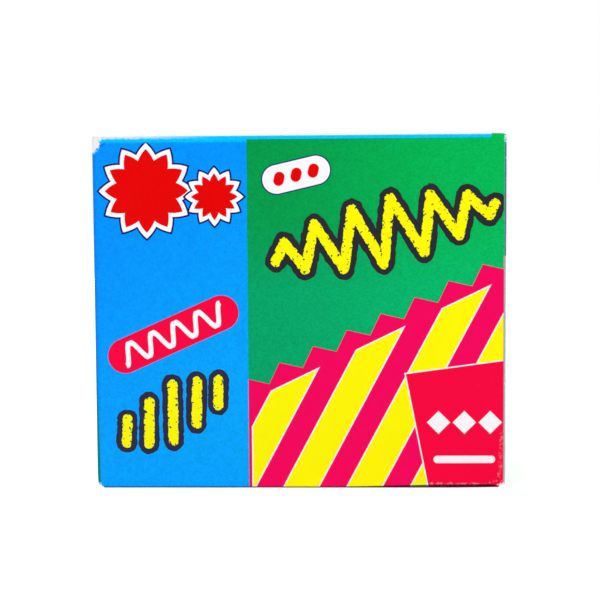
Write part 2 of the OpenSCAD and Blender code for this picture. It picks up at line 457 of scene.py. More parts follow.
for side in (-1, 1):
    cut_all((side * BOTTOM_FLAPS["front"]["root"], 0, 0), (1, 0, 0))
    cut_all((side * BOTTOM_FLAPS["back"]["root"], 0, 0), (1, 0, 0))
    cut_all((0, side * BOTTOM_FLAPS["left"]["root"], 0), (0, 1, 0))
pick("edges", lambda x, y, z: near(z, WALL_LOW) and near(y, BACK))
pull(0, 0, LAYER + FOLD - WALL_LOW)
pick("edges", lambda x, y, z: near(z, WALL_LOW) and y < FRONT + FOLD + HAIR)
pull(0, 0, FOLD - WALL_LOW)
for side in (-1, 1):
    pick("verts", lambda x, y, z: near(x, side * RIGHT) and near(y, FRONT + FOLD) and near(z, FOLD))
    bpy.ops.transform.translate(
        value=at(0, 0, CORNER_LIFT), use_proportional_edit=True, use_proportional_connected=True,
        proportional_edit_falloff="LINEAR", proportional_size=FOLD * MM)
print(f"the front wall reaches down {WALL_LOW - FOLD:.1f} mm further than the side walls")

# %% [markdown]
# ### Folding the bottom flaps
# Every flap is folded the same way, so one function does it from the wall's direction, its
# layer, its width at the crease and its depth. The front wall's corners slope up to the side
# walls, which leaves the small notch that a real carton has at each lower corner.

# %% Bottom flaps
FLAP_TAPER = 1.2
LEFT_SLANT, RIGHT_SLANT = 1.2, 1.7


def bottom_flap(out, layer, root, depth):
    """Folds a bottom flap in from the wall that faces the direction out."""
    out_x, out_y = out
    reach = RIGHT if out_x else BACK
    crease_z = layer * LAYER + FOLD
    pick("edges", lambda x, y, z: near(x * out_x + y * out_y, reach) and near(z, crease_z)
         and abs(x * out_y) + abs(y * out_x) < root + HAIR)
    inner = reach - FOLD
    roll((out_x * inner, out_y * inner, crease_z), (out_y, -out_x, 0))
    pull(-out_x * (depth - FOLD), -out_y * (depth - FOLD), 0)
    narrow = 1 - FLAP_TAPER / root
    bpy.ops.transform.resize(value=(narrow if out_y else 1, narrow if out_x else 1, 1),
                             center_override=(0, 0, 0))


for flap in BOTTOM_FLAPS.values():
    bottom_flap(**flap)
for side, slant in ((-1, LEFT_SLANT), (1, RIGHT_SLANT)):
    pick("faces", lambda x, y, z: z < HAIR or (z < FOLD + HAIR and y < FRONT + FOLD + HAIR))
    cut((side * BOTTOM_FLAPS["front"]["root"], 0, FOLD), (side, 0, -slant), clear=True)
print("with the bottom:", faces_of(carton), "faces")

# %% [markdown]
# ## Lip and hinge edge
# The left wall stands a little higher than the others, up to the top of the lid, and the
# lid's tuck flap slides down behind it. It could be left level, but then the lid's edge would
# show. On the right, the wall's top is left free for the crease that the lid turns on, which
# is a piece of its own because it bends.

# %% Tuck lip, and room for the hinge crease
LIP_REACH = BACK - FOLD - LAYER
LIP_RISE = LAYER - HAIR
HINGE_FLAT = 0.75
HINGE_LOW = TOP - FOLD - HINGE_FLAT

cut_all((0, -LIP_REACH, 0), (0, 1, 0))
pick("edges", lambda x, y, z: near(x, LEFT) and near(z, WALL_HIGH) and abs(y) < LIP_REACH + HAIR)
pull(0, 0, LIP_RISE)
bpy.ops.transform.resize(value=(1, 1 - LAYER / LIP_REACH, 1), center_override=(0, 0, 0))
cut_all((0, 0, HINGE_LOW), (0, 0, 1))
pick("faces", lambda x, y, z: near(x, RIGHT) and z > HINGE_LOW - HAIR)
bpy.ops.mesh.delete(type="FACE")
print(f"the lip stands {LIP_RISE:.2f} mm high, and the right wall ends at {HINGE_LOW:.2f} mm")

# %% [markdown]
# ## Wear of the shape
# A carton that has stood in a shop has soft corners. They could be sculpted, but a stroke of a
# brush can't be written down. So the sheet is cut into a grid, finer near the corners, so that
# it can bend, and then a few points are pushed with proportional editing, which moves what is
# round them less and less.

# %% Grid
GRID = 5
FINE_CUTS_UP = (2.5, 3.5, TOP - 3, TOP - 2)
FINE_CUTS_ACROSS = (LEFT + 1.6, LEFT + 3, RIGHT - 2.5, RIGHT - 7.5)


def grid(step, low, high, axis):
    """Cuts the whole sheet at equal steps along an axis, between two lengths in mm."""
    count = round((high - low) / step)
    normal = [0, 0, 0]
    normal[axis] = 1
    for i in range(1, count):
        place = [0, 0, 0]
        place[axis] = low + (high - low) * i / count
        cut_all(place, normal)


for low, high, axis in ((LEFT, RIGHT, 0), (FRONT, BACK, 1), (BASE, TOP, 2)):
    grid(GRID, low, high, axis)
for z in FINE_CUTS_UP:
    cut_all((0, 0, z), (0, 0, 1))
for x in FINE_CUTS_ACROSS:
    cut_all((x, 0, 0), (1, 0, 0))
print("with the grid:", faces_of(carton), "faces")

# %% [markdown]
# ### Dents
# The lower right corner of the front has been crushed upwards, and the other corners are
# rubbed round. Each dent is a line in a list, so it can be moved or softened by one number.

# %% Dents
DENTS = [
    # place, push, radius
    ((RIGHT - 6, FRONT, 0.7), (0, 0.3, 0.02), 8),
    ((RIGHT - 1.5, FRONT, 0.7), (-0.1, 0.15, 0.1), 4),
    ((RIGHT - 0.2, FRONT + 0.2, WALL_HIGH), (-0.12, 0.15, -0.05), 3),
    ((LEFT + 0.2, FRONT + 0.2, WALL_HIGH), (0.1, 0.15, -0.05), 3),
    ((LEFT + 0.2, FRONT + 0.2, 1.2), (0.1, 0.1, 0), 2.5),
    ((RIGHT - 0.2, BACK - 0.2, WALL_HIGH), (-0.3, -0.3, -0.1), 3),
    ((LEFT + 1, BACK, 1.2), (0.3, -0.3, 0.1), 4),
]


def dent(place, push, radius):
    """Pushes the corner of the mesh that lies nearest a place, and what is round it."""
    mesh = bmesh.from_edit_mesh(bpy.context.object.data)
    bpy.ops.mesh.select_all(action="DESELECT")
    bpy.ops.mesh.select_mode(type="VERT")
    nearest = min(mesh.verts, key=lambda corner: (corner.co - at(*place)).length)
    nearest.select_set(True)
    bmesh.update_edit_mesh(bpy.context.object.data)
    bpy.ops.transform.translate(
        value=at(*push), use_proportional_edit=True, use_proportional_connected=True,
        proportional_edit_falloff="SMOOTH", proportional_size=radius * MM)


for place, push, radius in DENTS:
    dent(place, push, radius)
bpy.ops.object.mode_set(mode="OBJECT")
print(len(DENTS), "dents, the widest", max(radius for *_, radius in DENTS), "mm round")

# %% [markdown]
# ## The lid
# The lid is the same board: a flat panel, a crease, and a tuck flap that leans in a little so
# that it finds its way behind the left wall. A slit at each end of the crease lets the panel
# run straight on while the flap turns down; it locks behind the dust flaps' shoulders. A box
# with a lid drawn on it would do while it is closed, but this lid has to open.

# %% Sizes of the lid
SWING_PLAY = 0.2
LID_LEFT = LEFT + BOARD + SWING_PLAY
LID_RIGHT = RIGHT - FOLD - HINGE_FLAT
LID_INSET = 0.7
LID_REACH = BACK - LID_INSET
SLIT = 7
SLIT_START = LID_REACH - SLIT
TUCK_PLAY = 0.5
TUCK_REACH = BACK - BOARD - LAYER - TUCK_PLAY
TUCK_DEPTH = 14
TUCK_DROP = TUCK_DEPTH - FOLD
TUCK_LEAN = 1.1
TUCK_CORNER = 7
TUCK_TIP = TOP - FOLD - TUCK_DROP
print(f"the tuck flap is {TUCK_DEPTH} mm deep and {2 * TUCK_REACH:.1f} mm long")

# %% Lid
PANEL_LEFT = LID_LEFT + FOLD
SAG, SAG_RADIUS = 0.25, 17

lid = new_sheet("lid_board", ((PANEL_LEFT + LID_RIGHT) / 2, 0, TOP),
                (LID_RIGHT - PANEL_LEFT, 2 * LID_REACH, 0))
for side in (-1, 1):
    cut_all((0, side * SLIT_START, 0), (0, 1, 0))
pick("edges", lambda x, y, z: near(x, PANEL_LEFT) and abs(y) < SLIT_START + HAIR)
roll((PANEL_LEFT, 0, TOP - FOLD), (0, 1, 0))
pull(TUCK_LEAN, 0, -TUCK_DROP)
for side in (-1, 1):
    pick("edges", lambda x, y, z: near(x, PANEL_LEFT) and side * y > SLIT_START - HAIR)
    pull(-FOLD, 0, 0)
    pick("edges", lambda x, y, z: z < TOP - FOLD + HAIR and near(y, side * SLIT_START))
    pull(0, side * (TUCK_REACH - SLIT_START), 0)
pick("verts", lambda x, y, z: near(z, TUCK_TIP) and abs(y) > TUCK_REACH - HAIR)
bpy.ops.mesh.bevel(offset=TUCK_CORNER * MM, segments=CORNER_STEPS, affect="VERTICES")
grid(GRID, LEFT, RIGHT, 0)
grid(GRID, FRONT, BACK, 1)
grid(GRID, TUCK_TIP, TOP, 2)
dent((0, 0, TOP), (0, 0, -SAG), SAG_RADIUS)
print("lid sheet:", faces_of(lid), "faces")
bpy.ops.object.mode_set(mode="OBJECT")

# %% [markdown]
# ## The hinge crease
# Paper has no hinge pin: the lid turns because its crease bends. A strip that rode on the lid
# alone would tear away from the wall. So this narrow strip runs from the top of the right wall
# round to the lid.

# %% Hinge crease
HINGE_REACH = BACK - FOLD

hinge = new_sheet("hinge_crease", (RIGHT, 0, TOP - FOLD - HINGE_FLAT / 2),
                  (0, 2 * HINGE_REACH, HINGE_FLAT), turn=(0, QUARTER, 0))
pick("edges", lambda x, y, z: near(z, TOP - FOLD))
roll((RIGHT - FOLD, 0, TOP - FOLD), (0, 1, 0))
pull(-HINGE_FLAT, 0, 0)
grid(GRID, FRONT, BACK, 1)
bpy.ops.object.mode_set(mode="OBJECT")
print("hinge strip:", [round(side / MM, 2) for side in hinge.dimensions])

# %% [markdown]
# ## Places in a print
# A print is drawn on the flat sheet before it is cut and folded: so many millimetres across a
# panel, and so many up from its base. It could be painted as an image, but an image is only as
# sharp as its dots. Here each panel's drawing is a net of nodes that reads the place on the
# board, and it stays sharp however near the camera comes.

# %% Places on the board


def place_in_mm(tree):
    """Object coordinates in mm."""
    place = add(tree, "TexCoord", out="Object")
    return add(tree, "VectorMath", {0: place, "Scale": 1 / MM}, operation="SCALE")


def wall_place(tree, axis, direction):
    """Millimetres across a wall that runs along X or Y, and up; -1 runs the other way."""
    place = add(tree, "SeparateXYZ", {0: place_in_mm(tree)}).node.outputs
    across = add(tree, "Math", {0: place[axis], 1: direction}, operation="MULTIPLY")
    return add(tree, "CombineXYZ", {"X": across, "Y": place["Z"]})


print(f"a drawing runs from {LEFT:.2f} to {RIGHT:.2f} mm across and {TOP:.2f} mm up")

# %% [markdown]
# ## Inks
# The carton is printed in offset with a few flat inks. A printer gets them by laying cyan,
# magenta and yellow over each other, and so could the nodes, but every flat colour would then
# take three numbers to match. So each is written once, as the colour that the printed board
# shows in plain light.

# %% Ink colours
# BLUE_LOW, GREEN_RIGHT and the GREEN_LOW pair are also the lighter ends of the painted light on the
# main panel
BLUE, BLUE_LOW, SKY = "#008efa", "#00a4fb", "#00c0fe"
GREEN, GREEN_RIGHT = "#009649", "#00b352"
GREEN_LOW, GREEN_LOW_RIGHT = "#00a066", "#00b76a"
SIDE_GREEN, PALE_TEAL, ROSE = "#007c6c", "#b9e8ea", "#e89cd8"
MAGENTA, CRIMSON, RED = "#f0005c", "#f4003e", "#e20000"
YELLOW, NAVY, PAPER = "#faf400", "#0c1468", "#f7f4f8"
print("the blue ink is mixed as", [round(value, 3) for value in ink(BLUE)])

# %% [markdown]
# ## Shapes as distances
# Each shape in the print is a distance in mm, below zero inside it. A mask could be drawn for
# every colour of a shape, but one distance gives them all: compared with three numbers, it
# gives the fill, the white outline and the dark keyline. An offset edge is sharp, and is
# softened here over a few hundredths of a millimetre only.

# %% Laying ink
INK_EDGE = 0.06
# a range that runs softly from its start to its end and then stays, so it needs no clamp
SOFT = {"interpolation_type": "SMOOTHSTEP", "clamp": False}


def lay(tree, below, colour, distance, reach=0.0):
    """Prints a colour wherever the distance is less than reach."""
    mask = add(tree, "MapRange", {"Value": distance, "From Min": reach + INK_EDGE,
                                  "From Max": reach - INK_EDGE}, **SOFT)
    return add(tree, "Mix", {0: mask, 6: ink(below), 7: ink(colour)}, out=2, data_type="RGBA")


def lay_all(tree, below, distance, *layers):
    """Prints a shape in several colours, from the widest reach to the narrowest."""
    for colour, reach in layers:
        below = lay(tree, below, colour, distance, reach)
    return below


def fade(tree, below, colour, value, start, end, most=1.0):
    """Lets a colour come in over another, up to a share, as value runs from start to end."""
    share = add(tree, "MapRange", {"Value": value, "From Min": start, "From Max": end,
                                   "To Max": most}, **SOFT)
    return add(tree, "Mix", {0: share, 6: ink(below), 7: ink(colour)}, out=2, data_type="RGBA")


print(f"an edge of ink goes soft over {2 * INK_EDGE:.2f} mm")

# %% [markdown]
# ## The main panel's fields
# The main panel is a blue field beside a green one, with no board showing between them. They
# could be two faces with a material each, but the mesh would need a cut for every change of
# the drawing. Both colours are painted lighter towards the right and towards the base. This is
# painted light, as a stronger lamp on the right and light thrown back from the table would give.

# %% Fields
FIELD_EDGE = -12.4
BLUE_SLOPE = 0.9
# painted light: the blue and the green lighten towards the right and towards the base
BLUE_LIGHTENING = (-123, -17)
GREEN_ACROSS, GREEN_UP = (-12, 48), (44, 68)


def fields(tree, across, up):
    """Blue to the left of the fields' edge and green to the right of it, both with painted light:
    lighter towards the right and towards the base.
    """
    slant = add(tree, "Math", {0: across, 1: BLUE_SLOPE}, operation="MULTIPLY")
    slant = add(tree, "Math", {0: slant, 1: up}, operation="SUBTRACT")
    blue = fade(tree, BLUE, BLUE_LOW, slant, *BLUE_LIGHTENING)
    low = fade(tree, GREEN_LOW, GREEN_LOW_RIGHT, across, *GREEN_ACROSS)
    high = fade(tree, GREEN, GREEN_RIGHT, across, *GREEN_ACROSS)
    green = fade(tree, low, high, up, *GREEN_UP)
    beside = add(tree, "Math", {0: across, 1: FIELD_EDGE}, operation="SUBTRACT")
    return lay(tree, green, blue, beside)


print(f"the blue is {FIELD_EDGE - LEFT:.1f} mm wide and the green {RIGHT - FIELD_EDGE:.1f} mm")

# %% [markdown]
# ## Bursts
# A burst is a printer's stock shape: a star with many short points, here red with a white and a
# navy outline. It could be a chain of 24 short lines. But all its points are alike, so the
# angle round its middle is folded to and fro with Ping-Pong, which draws them all at once.

# %% Bursts
BURSTS = [
    # centre, radius, depth of the points
    ((-36.5, 72), 10, 2.6),
    ((-20.2, 70.5), 5.6, 1.7),
]
BURST_POINTS = 12
BURST_LAYERS = ((NAVY, 2.0), (PAPER, 1.4), (RED, 0))


def burst(tree, place, centre, radius, depth):
    """A star with many short points."""
    offset = add(tree, "VectorMath", {0: place, 1: (*centre, 0)}, operation="SUBTRACT")
    parts = add(tree, "SeparateXYZ", {0: offset}).node.outputs
    angle = add(tree, "Math", {0: parts["Y"], 1: parts["X"]}, operation="ARCTAN2")
    half = math.pi / BURST_POINTS
    saw = add(tree, "Math", {0: angle, 1: half}, operation="PINGPONG")
    rim = add(tree, "Math", {0: saw, 1: depth / half, 2: -radius}, operation="MULTIPLY_ADD")
    far = add(tree, "VectorMath", {0: offset}, out="Value", operation="LENGTH")
    return add(tree, "Math", {0: far, 1: rim}, operation="ADD")


def lay_bursts(tree, place, colour, bursts, layers):
    """Prints several bursts, each in all its colours."""
    for centre, radius, depth in bursts:
        colour = lay_all(tree, colour, burst(tree, place, centre, radius, depth), *layers)
    return colour


print(len(BURSTS), "bursts of", BURST_POINTS, "points")

# %% [markdown]
# ## Strokes
# A brush or a stick of chalk leaves a line with round ends. Blender's curves could draw it, but
# they would lie on the board as pieces. As a distance it is a chain of straight parts: the
# nearest point of each part is found by a dot product, and the shortest way to any of them
# counts. A small white plate with three dots is drawn with it first.

# %% Strokes


def turned(centre, degrees, points):
    """Points of a drawing, turned and put round a centre."""
    cosine, sine = math.cos(math.radians(degrees)), math.sin(math.radians(degrees))
    return [(centre[0] + x * cosine - y * sine, centre[1] + x * sine + y * cosine)
            for x, y in points]


def stroke(tree, place, *chains):
    """Distance to one or more chains of points, in mm."""
    nearest = None
    for start, end in [pair for chain in chains for pair in zip(chain, chain[1:])]:
        start, end = Vector(start).to_3d(), Vector(end).to_3d()
        along = end - start
        offset = add(tree, "VectorMath", {0: place, 1: start}, operation="SUBTRACT")
        share = add(tree, "VectorMath", {0: offset, 1: along / along.length_squared}, out="Value",
                    operation="DOT_PRODUCT")
        share = add(tree, "Clamp", {"Value": share})
        foot = add(tree, "VectorMath", {0: along, "Scale": share}, operation="SCALE")
        gap = add(tree, "VectorMath", {0: offset, 1: foot}, out="Value", operation="DISTANCE")
        nearest = gap if nearest is None else add(
            tree, "Math", {0: nearest, 1: gap}, operation="MINIMUM")
    return nearest


quarter = turned((0, 0), 90, [(10, 0)])[0]
print("a point at (10, 0), turned by 90 degrees:", [round(side, 2) for side in quarter])

# %% A plate with three dots
PLATE_MIDDLE, PLATE_TILT = (-0.6, 75.6), 13
PLATE_REACH = 4.8
PLATE_LAYERS = ((NAVY, 3.7), (PAPER, 3.4))
DOTS, DOT_HALF = (-4.2, 0, 4.2), 1.25
DOT_LEAN = (0.2, 0.4)


def plate(tree, place, colour):
    """A small white plate on a slant, with a navy keyline and three red dots."""
    middle = turned(PLATE_MIDDLE, PLATE_TILT, [(-PLATE_REACH, 0), (PLATE_REACH, 0)])
    colour = lay_all(tree, colour, stroke(tree, place, middle), *PLATE_LAYERS)
    for x in DOTS:
        dot = [(x - DOT_LEAN[0], -DOT_LEAN[1]), (x + DOT_LEAN[0], DOT_LEAN[1])]
        dot = turned(PLATE_MIDDLE, PLATE_TILT, dot)
        colour = lay(tree, colour, RED, stroke(tree, place, dot), DOT_HALF)
    return colour


print(f"the plate is {2 * (PLATE_REACH + PLATE_LAYERS[0][1]):.1f} mm long, with {len(DOTS)} dots")

# %% [markdown]
# ## A ribbon with a wave
# On the blue lies a crimson ribbon with a white wavy line. The line could be a chain of strokes
# too, but a sine gives it with fewer nodes. The height above a sine isn't the distance to it:
# on the steep parts it is too large, so it is divided by the sine's steepness.

# %% Overlaps and waves


def overlap(tree, *distances):
    """The part that all the shapes share."""
    result = distances[0]
    for distance in distances[1:]:
        result = add(tree, "Math", {0: result, 1: distance}, operation="MAXIMUM")
    return result


def wave(tree, place, centre, degrees, half, height, length, thickness):
    """A wavy line on a slant: half its length, the height and length of a wave, its thickness."""
    offset = add(tree, "VectorMath", {0: place, 1: (*centre, 0)}, operation="SUBTRACT")
    local = add(tree, "VectorRotate", {"Vector": offset, "Angle": -math.radians(degrees)},
                rotation_type="Z_AXIS")
    parts = add(tree, "SeparateXYZ", {0: local}).node.outputs
    rate = 2 * math.pi / length
    phase = add(tree, "Math", {0: parts["X"], 1: rate}, operation="MULTIPLY")
    crest = add(tree, "Math", {0: phase}, operation="SINE")
    gap = add(tree, "Math", {0: crest, 1: -height, 2: parts["Y"]}, operation="MULTIPLY_ADD")
    gap = add(tree, "Math", {0: gap}, operation="ABSOLUTE")
    slope = add(tree, "Math", {0: phase}, operation="COSINE")
    slope = add(tree, "Math", {0: slope, 1: slope}, operation="MULTIPLY")
    steep = add(tree, "Math", {0: slope, 1: (height * rate) ** 2, 2: 1.0},
                operation="MULTIPLY_ADD")
    steep = add(tree, "Math", {0: steep}, operation="SQRT")
    gap = add(tree, "Math", {0: gap, 1: steep}, operation="DIVIDE")
    gap = add(tree, "Math", {0: gap, 1: thickness / 2}, operation="SUBTRACT")
    end = add(tree, "Math", {0: parts["X"]}, operation="ABSOLUTE")
    end = add(tree, "Math", {0: end, 1: half}, operation="SUBTRACT")
    return overlap(tree, gap, end)


print(f"where a wave climbs at 45 degrees, its height is divided by {math.hypot(1, 1):.2f}")

# %% Ribbon
RIBBON_MIDDLE, RIBBON_TILT = (-30.5, 37.5), 24
RIBBON = turned(RIBBON_MIDDLE, RIBBON_TILT, [(-12.75, 0), (12.75, 0)])
RIBBON_HALF = 4.2
RIBBON_WAVE = {"centre": RIBBON_MIDDLE, "degrees": RIBBON_TILT, "half": 13.5, "height": 2.3,
               "length": 6.0, "thickness": 1.2}


def ribbon(tree, place, colour):
    """A crimson ribbon with a white wavy line on it."""
    colour = lay(tree, colour, CRIMSON, stroke(tree, place, RIBBON), RIBBON_HALF)
    return lay(tree, colour, PAPER, wave(tree, place, **RIBBON_WAVE))


print(f"the wave has {2 * RIBBON_WAVE['half'] / RIBBON_WAVE['length']:.1f} crests")

# %% [markdown]
# ## Chalk marks
# The marks of chalk are strokes whose edges have crumbled: yellow, on a wider dark outline. A
# scan of real chalk would need an image. Here noise is added to the distance: a little wander
# in waves of 2 mm, and small bites of less than 1 mm, as wide as the crumbs that break off a
# stick.

# %% Torn and bitten edges
# the settings that nearly all the noise here shares
NOISE = {"Detail": 2.0, "Roughness": 0.6}
BITE_SPAN, BITE_DETAIL = (0.54, 0.68), 3.0


def patches(tree, place, size, low, high, span=(0.3, 0.7), detail=NOISE["Detail"]):
    """Patches about size mm across, over which a strength wanders from low to high.

    Noise mostly stays within span, and what lies beyond it counts as low or high.
    """
    noise = add(tree, "TexNoise", {"Vector": place, "Scale": 1 / size, **NOISE,
                                   "Detail": detail})
    return add(tree, "MapRange", {"Value": noise, "From Min": span[0], "From Max": span[1],
                                  "To Min": low, "To Max": high}, **SOFT)


def torn(tree, distance, place, size, amount):
    """Wanders a shape's edge by up to amount mm, in waves of about size mm."""
    wander = patches(tree, place, size, -amount, amount)
    return add(tree, "Math", {0: wander, 1: distance}, operation="ADD")


def bitten(tree, distance, place, size, amount):
    """Takes small bites of up to amount mm out of a shape that is smooth elsewhere."""
    bites = patches(tree, place, size, 0.0, amount, BITE_SPAN, BITE_DETAIL)
    return add(tree, "Math", {0: bites, 1: distance}, operation="ADD")


print(f"a bite is taken where the noise passes {BITE_SPAN[0]}")

# %% Chalk marks
MARK_HALF = 1.2
# size and depth in mm of the outline's wander, the mark's wander and the crumbs
OUTLINE_TEAR, MARK_TEAR, CRUMBS = (2.6, 0.16), (1.9, 0.14), (0.8, 0.9)
SLATE_BLUE, SOFT_BLACK = "#282a46", "#24282f"
DASH_RIM, SCRIBBLE_RIM = 1.3, 1.4
DASHES = [turned((-30.5, 18.6), 22, dash) for dash in (
    [(-13.6, -2.6), (-11.2, 2.6)], [(-8.6, -4.8), (-4.6, 4.6)], [(-2.8, -6.4), (2.2, 6.4)],
    [(4.0, -4.6), (8.0, 4.8)], [(10.6, -2.4), (13.0, 3.2)])]
SCRIBBLE = turned((20.5, 62), 13, [
    (-27, -1.0), (-24, 3.0), (-20.5, -4.5), (-16, 5.5), (-11.5, -6.5), (-6.5, 7), (-2, -7.5),
    (3, 7.5), (8, -7), (12.5, 6), (17, -5), (21, 4), (25, -2), (27, 0.5)])


def chalk_marks(tree, place, below, chains, outline, rim):
    """Yellow strokes with crumbled edges, on a wider dark outline that is torn a little."""
    line = stroke(tree, place, *chains)
    edge = torn(tree, line, place, *OUTLINE_TEAR)
    colour = lay(tree, below, outline, edge, MARK_HALF + rim)
    line = bitten(tree, torn(tree, line, place, *MARK_TEAR), place, *CRUMBS)
    return lay(tree, colour, YELLOW, line, MARK_HALF)


print(len(DASHES), "dashes, and a scribble of", len(SCRIBBLE) - 1, "strokes")

# %% [markdown]
# ## The magenta corner
# The lower part of the green field is covered by magenta with a sawn upper edge and slanting
# yellow bars. The bars could be drawn one by one. But they repeat, so one distance that is
# folded by Ping-Pong gives them all, and the same fold, much shallower, saws the edge.

# %% Magenta corner
MAGENTA_EDGE = ((FIELD_EDGE, 27), (50, 57))
SAW = {"direction": 26, "pitch": 9, "width": 0}
SAW_DEPTH = 0.8
BARS = {"direction": -28, "pitch": 13.5, "width": 7.2}
BARS_BELOW, BARS_FROM = 5.5, FIELD_EDGE + 1
THIN_OUTLINE = 0.3


def beyond(tree, place, start, end):
    """Distance to the left of the line from start to end, below zero on its right."""
    along = Vector((end[0] - start[0], end[1] - start[1], 0)).normalized()
    left = Vector((-along.y, along.x, 0))
    shift = -left.x * start[0] - left.y * start[1]
    dot = add(tree, "VectorMath", {0: place, 1: left}, out="Value", operation="DOT_PRODUCT")
    return add(tree, "Math", {0: dot, 1: shift}, operation="ADD")


def stripes(tree, place, direction, pitch, width):
    """Parallel bands, width mm wide and pitch mm apart, across a direction in degrees."""
    angle = math.radians(direction)
    across = add(tree, "VectorMath", {0: place, 1: (math.cos(angle), math.sin(angle), 0)},
                 out="Value", operation="DOT_PRODUCT")
    saw = add(tree, "Math", {0: across, 1: pitch / 2}, operation="PINGPONG")
    return add(tree, "Math", {0: saw, 1: width / 2}, operation="SUBTRACT")


def magenta_corner(tree, place, across, colour):
    """Magenta below a sawn edge, with slanting yellow bars."""
    slope = beyond(tree, place, *MAGENTA_EDGE)
    edge = add(tree, "Math", {0: stripes(tree, place, **SAW), 1: SAW_DEPTH, 2: slope},
               operation="MULTIPLY_ADD")
    start = add(tree, "Math", {0: FIELD_EDGE, 1: across}, operation="SUBTRACT")
    colour = lay(tree, colour, MAGENTA, overlap(tree, edge, start))
    inset = add(tree, "Math", {0: slope, 1: BARS_BELOW}, operation="ADD")
    start = add(tree, "Math", {0: BARS_FROM, 1: across}, operation="SUBTRACT")
    bars = overlap(tree, stripes(tree, place, **BARS), inset, start)
    return lay_all(tree, colour, bars, (PAPER, THIN_OUTLINE), (YELLOW, 0))


print(f"bars {BARS['width']} mm wide, {BARS['pitch']} mm apart")

# %% [markdown]
# ## The crimson plate
# In the lower corner lies a crimson plate with three white diamonds and a bar. A diamond is
# the simplest of shapes as a distance: so far beside its middle plus so far above it.

# %% Crimson plate
CRIMSON_EDGES = (((31, 0), (25, 30)), ((20, 27), (50, 31)))
DIAMONDS_MIDDLE = (39.5, 16, 0)
DIAMOND_HALF, DIAMOND_HALF_PITCH, DIAMONDS_REACH = 2.8, 3.1, 9.3
BAR, BAR_HALF = [(33, 7), (46, 7)], 0.9


def crimson_plate(tree, place, colour):
    """A crimson plate with three white diamonds in a row and a bar below them."""
    corner = overlap(tree, *(beyond(tree, place, *edge) for edge in CRIMSON_EDGES))
    colour = lay_all(tree, colour, corner, (PAPER, THIN_OUTLINE), (CRIMSON, 0))
    offset = add(tree, "VectorMath", {0: place, 1: DIAMONDS_MIDDLE}, operation="SUBTRACT")
    step = add(tree, "SeparateXYZ", {0: offset}).node.outputs
    beside = add(tree, "Math", {0: step["X"], 1: DIAMOND_HALF_PITCH}, operation="PINGPONG")
    raised = add(tree, "Math", {0: step["Y"]}, operation="ABSOLUTE")
    diamond = add(tree, "Math", {0: beside, 1: raised}, operation="ADD")
    diamond = add(tree, "Math", {0: diamond, 1: DIAMOND_HALF}, operation="SUBTRACT")
    ends = add(tree, "Math", {0: step["X"]}, operation="ABSOLUTE")
    ends = add(tree, "Math", {0: ends, 1: DIAMONDS_REACH}, operation="SUBTRACT")
    colour = lay(tree, colour, PAPER, overlap(tree, diamond, ends))
    return lay(tree, colour, PAPER, stroke(tree, place, BAR), BAR_HALF)


print(f"{DIAMONDS_REACH / DIAMOND_HALF_PITCH:.0f} diamonds, {2 * DIAMOND_HALF} mm wide")

# %% [markdown]
# ## Inks at the creases
# No carton is creased exactly where its print ends, so a thin line of each neighbouring panel's
# ink shows round an edge. A fitted print without it would look like a drawing of a box. The
# lines are a few tenths of a millimetre wide, and the left one widens downwards, because that
# crease isn't quite square to the print. Light and shade are painted here too. A darker blue in
# the round of the left crease and along a dent below the bare upper corner is painted shade. The
# front's inks lightened on the round of the right crease are a painted highlight.

# %% Painted shade round the left crease
# painted shade: the blue darkened in the round of the left crease, and a dark line along the dent
# below the bare corner
SHADED_BLUE, DEEPEST_SHADE = "#0066e0", 0.45
SHADE_FROM, SHADE_TO = LEFT + 1.3, LEFT + 0.3
CORNER_SHADOW_LINE = [(LEFT + 0.2, TOP - 3.4), (LEFT + 1.6, TOP - 3.1), (LEFT + 3.2, TOP - 2.1)]
CORNER_SHADOW_HALF = 0.2


def shaded_left_crease(tree, place, across, colour, direction):
    """Painted shade: darker blue in the round of the left crease, and, on the front, along a dent
    below its bare corner.
    """
    colour = fade(tree, colour, SHADED_BLUE, across, SHADE_FROM, SHADE_TO, DEEPEST_SHADE)
    if direction < 0:
        return colour
    return lay(tree, colour, SHADED_BLUE, stroke(tree, place, CORNER_SHADOW_LINE), CORNER_SHADOW_HALF)


print(f"the blue is heavier over {SHADE_FROM - LEFT:.1f} mm beside the left crease")

# %% Spilled inks, and a painted highlight on the right crease
SIDE_SPLIT = 56
LEFT_SPILL = {"From Min": 53, "From Max": -4, "To Min": LEFT - 0.05, "To Max": LEFT + 0.78}
RIGHT_INKS_AND_HIGHLIGHT = [
    # reach from the right edge, ink below the split, ink above it; the widest line is the
    # front's ink lightened, a painted highlight on the round of the crease
    (0.72, "#f4587a", "#00c87c"),
    (0.50, "#7cc8c0", "#203a66"),
    (0.26, PALE_TEAL, ROSE),
]


def spilled_inks_and_highlight(tree, across, up, colour):
    """Thin lines of the side walls' inks along the left and the right crease, and a painted
    highlight: the front's ink lightened on the round of the right crease.
    """
    line = add(tree, "MapRange", {"Value": up, **LEFT_SPILL}, **SOFT)
    colour = lay(tree, colour, SIDE_GREEN, add(tree, "Math", {0: across, 1: line},
                                               operation="SUBTRACT"))
    upper = add(tree, "Math", {0: SIDE_SPLIT, 1: up}, operation="SUBTRACT")
    from_right = add(tree, "Math", {0: RIGHT, 1: across}, operation="SUBTRACT")
    for reach, low, high in RIGHT_INKS_AND_HIGHLIGHT:
        colour = lay(tree, colour, lay(tree, low, high, upper), from_right, reach)
    return colour


print("inks spill over by up to", max(reach for reach, *_ in RIGHT_INKS_AND_HIGHLIGHT), "mm on the right")

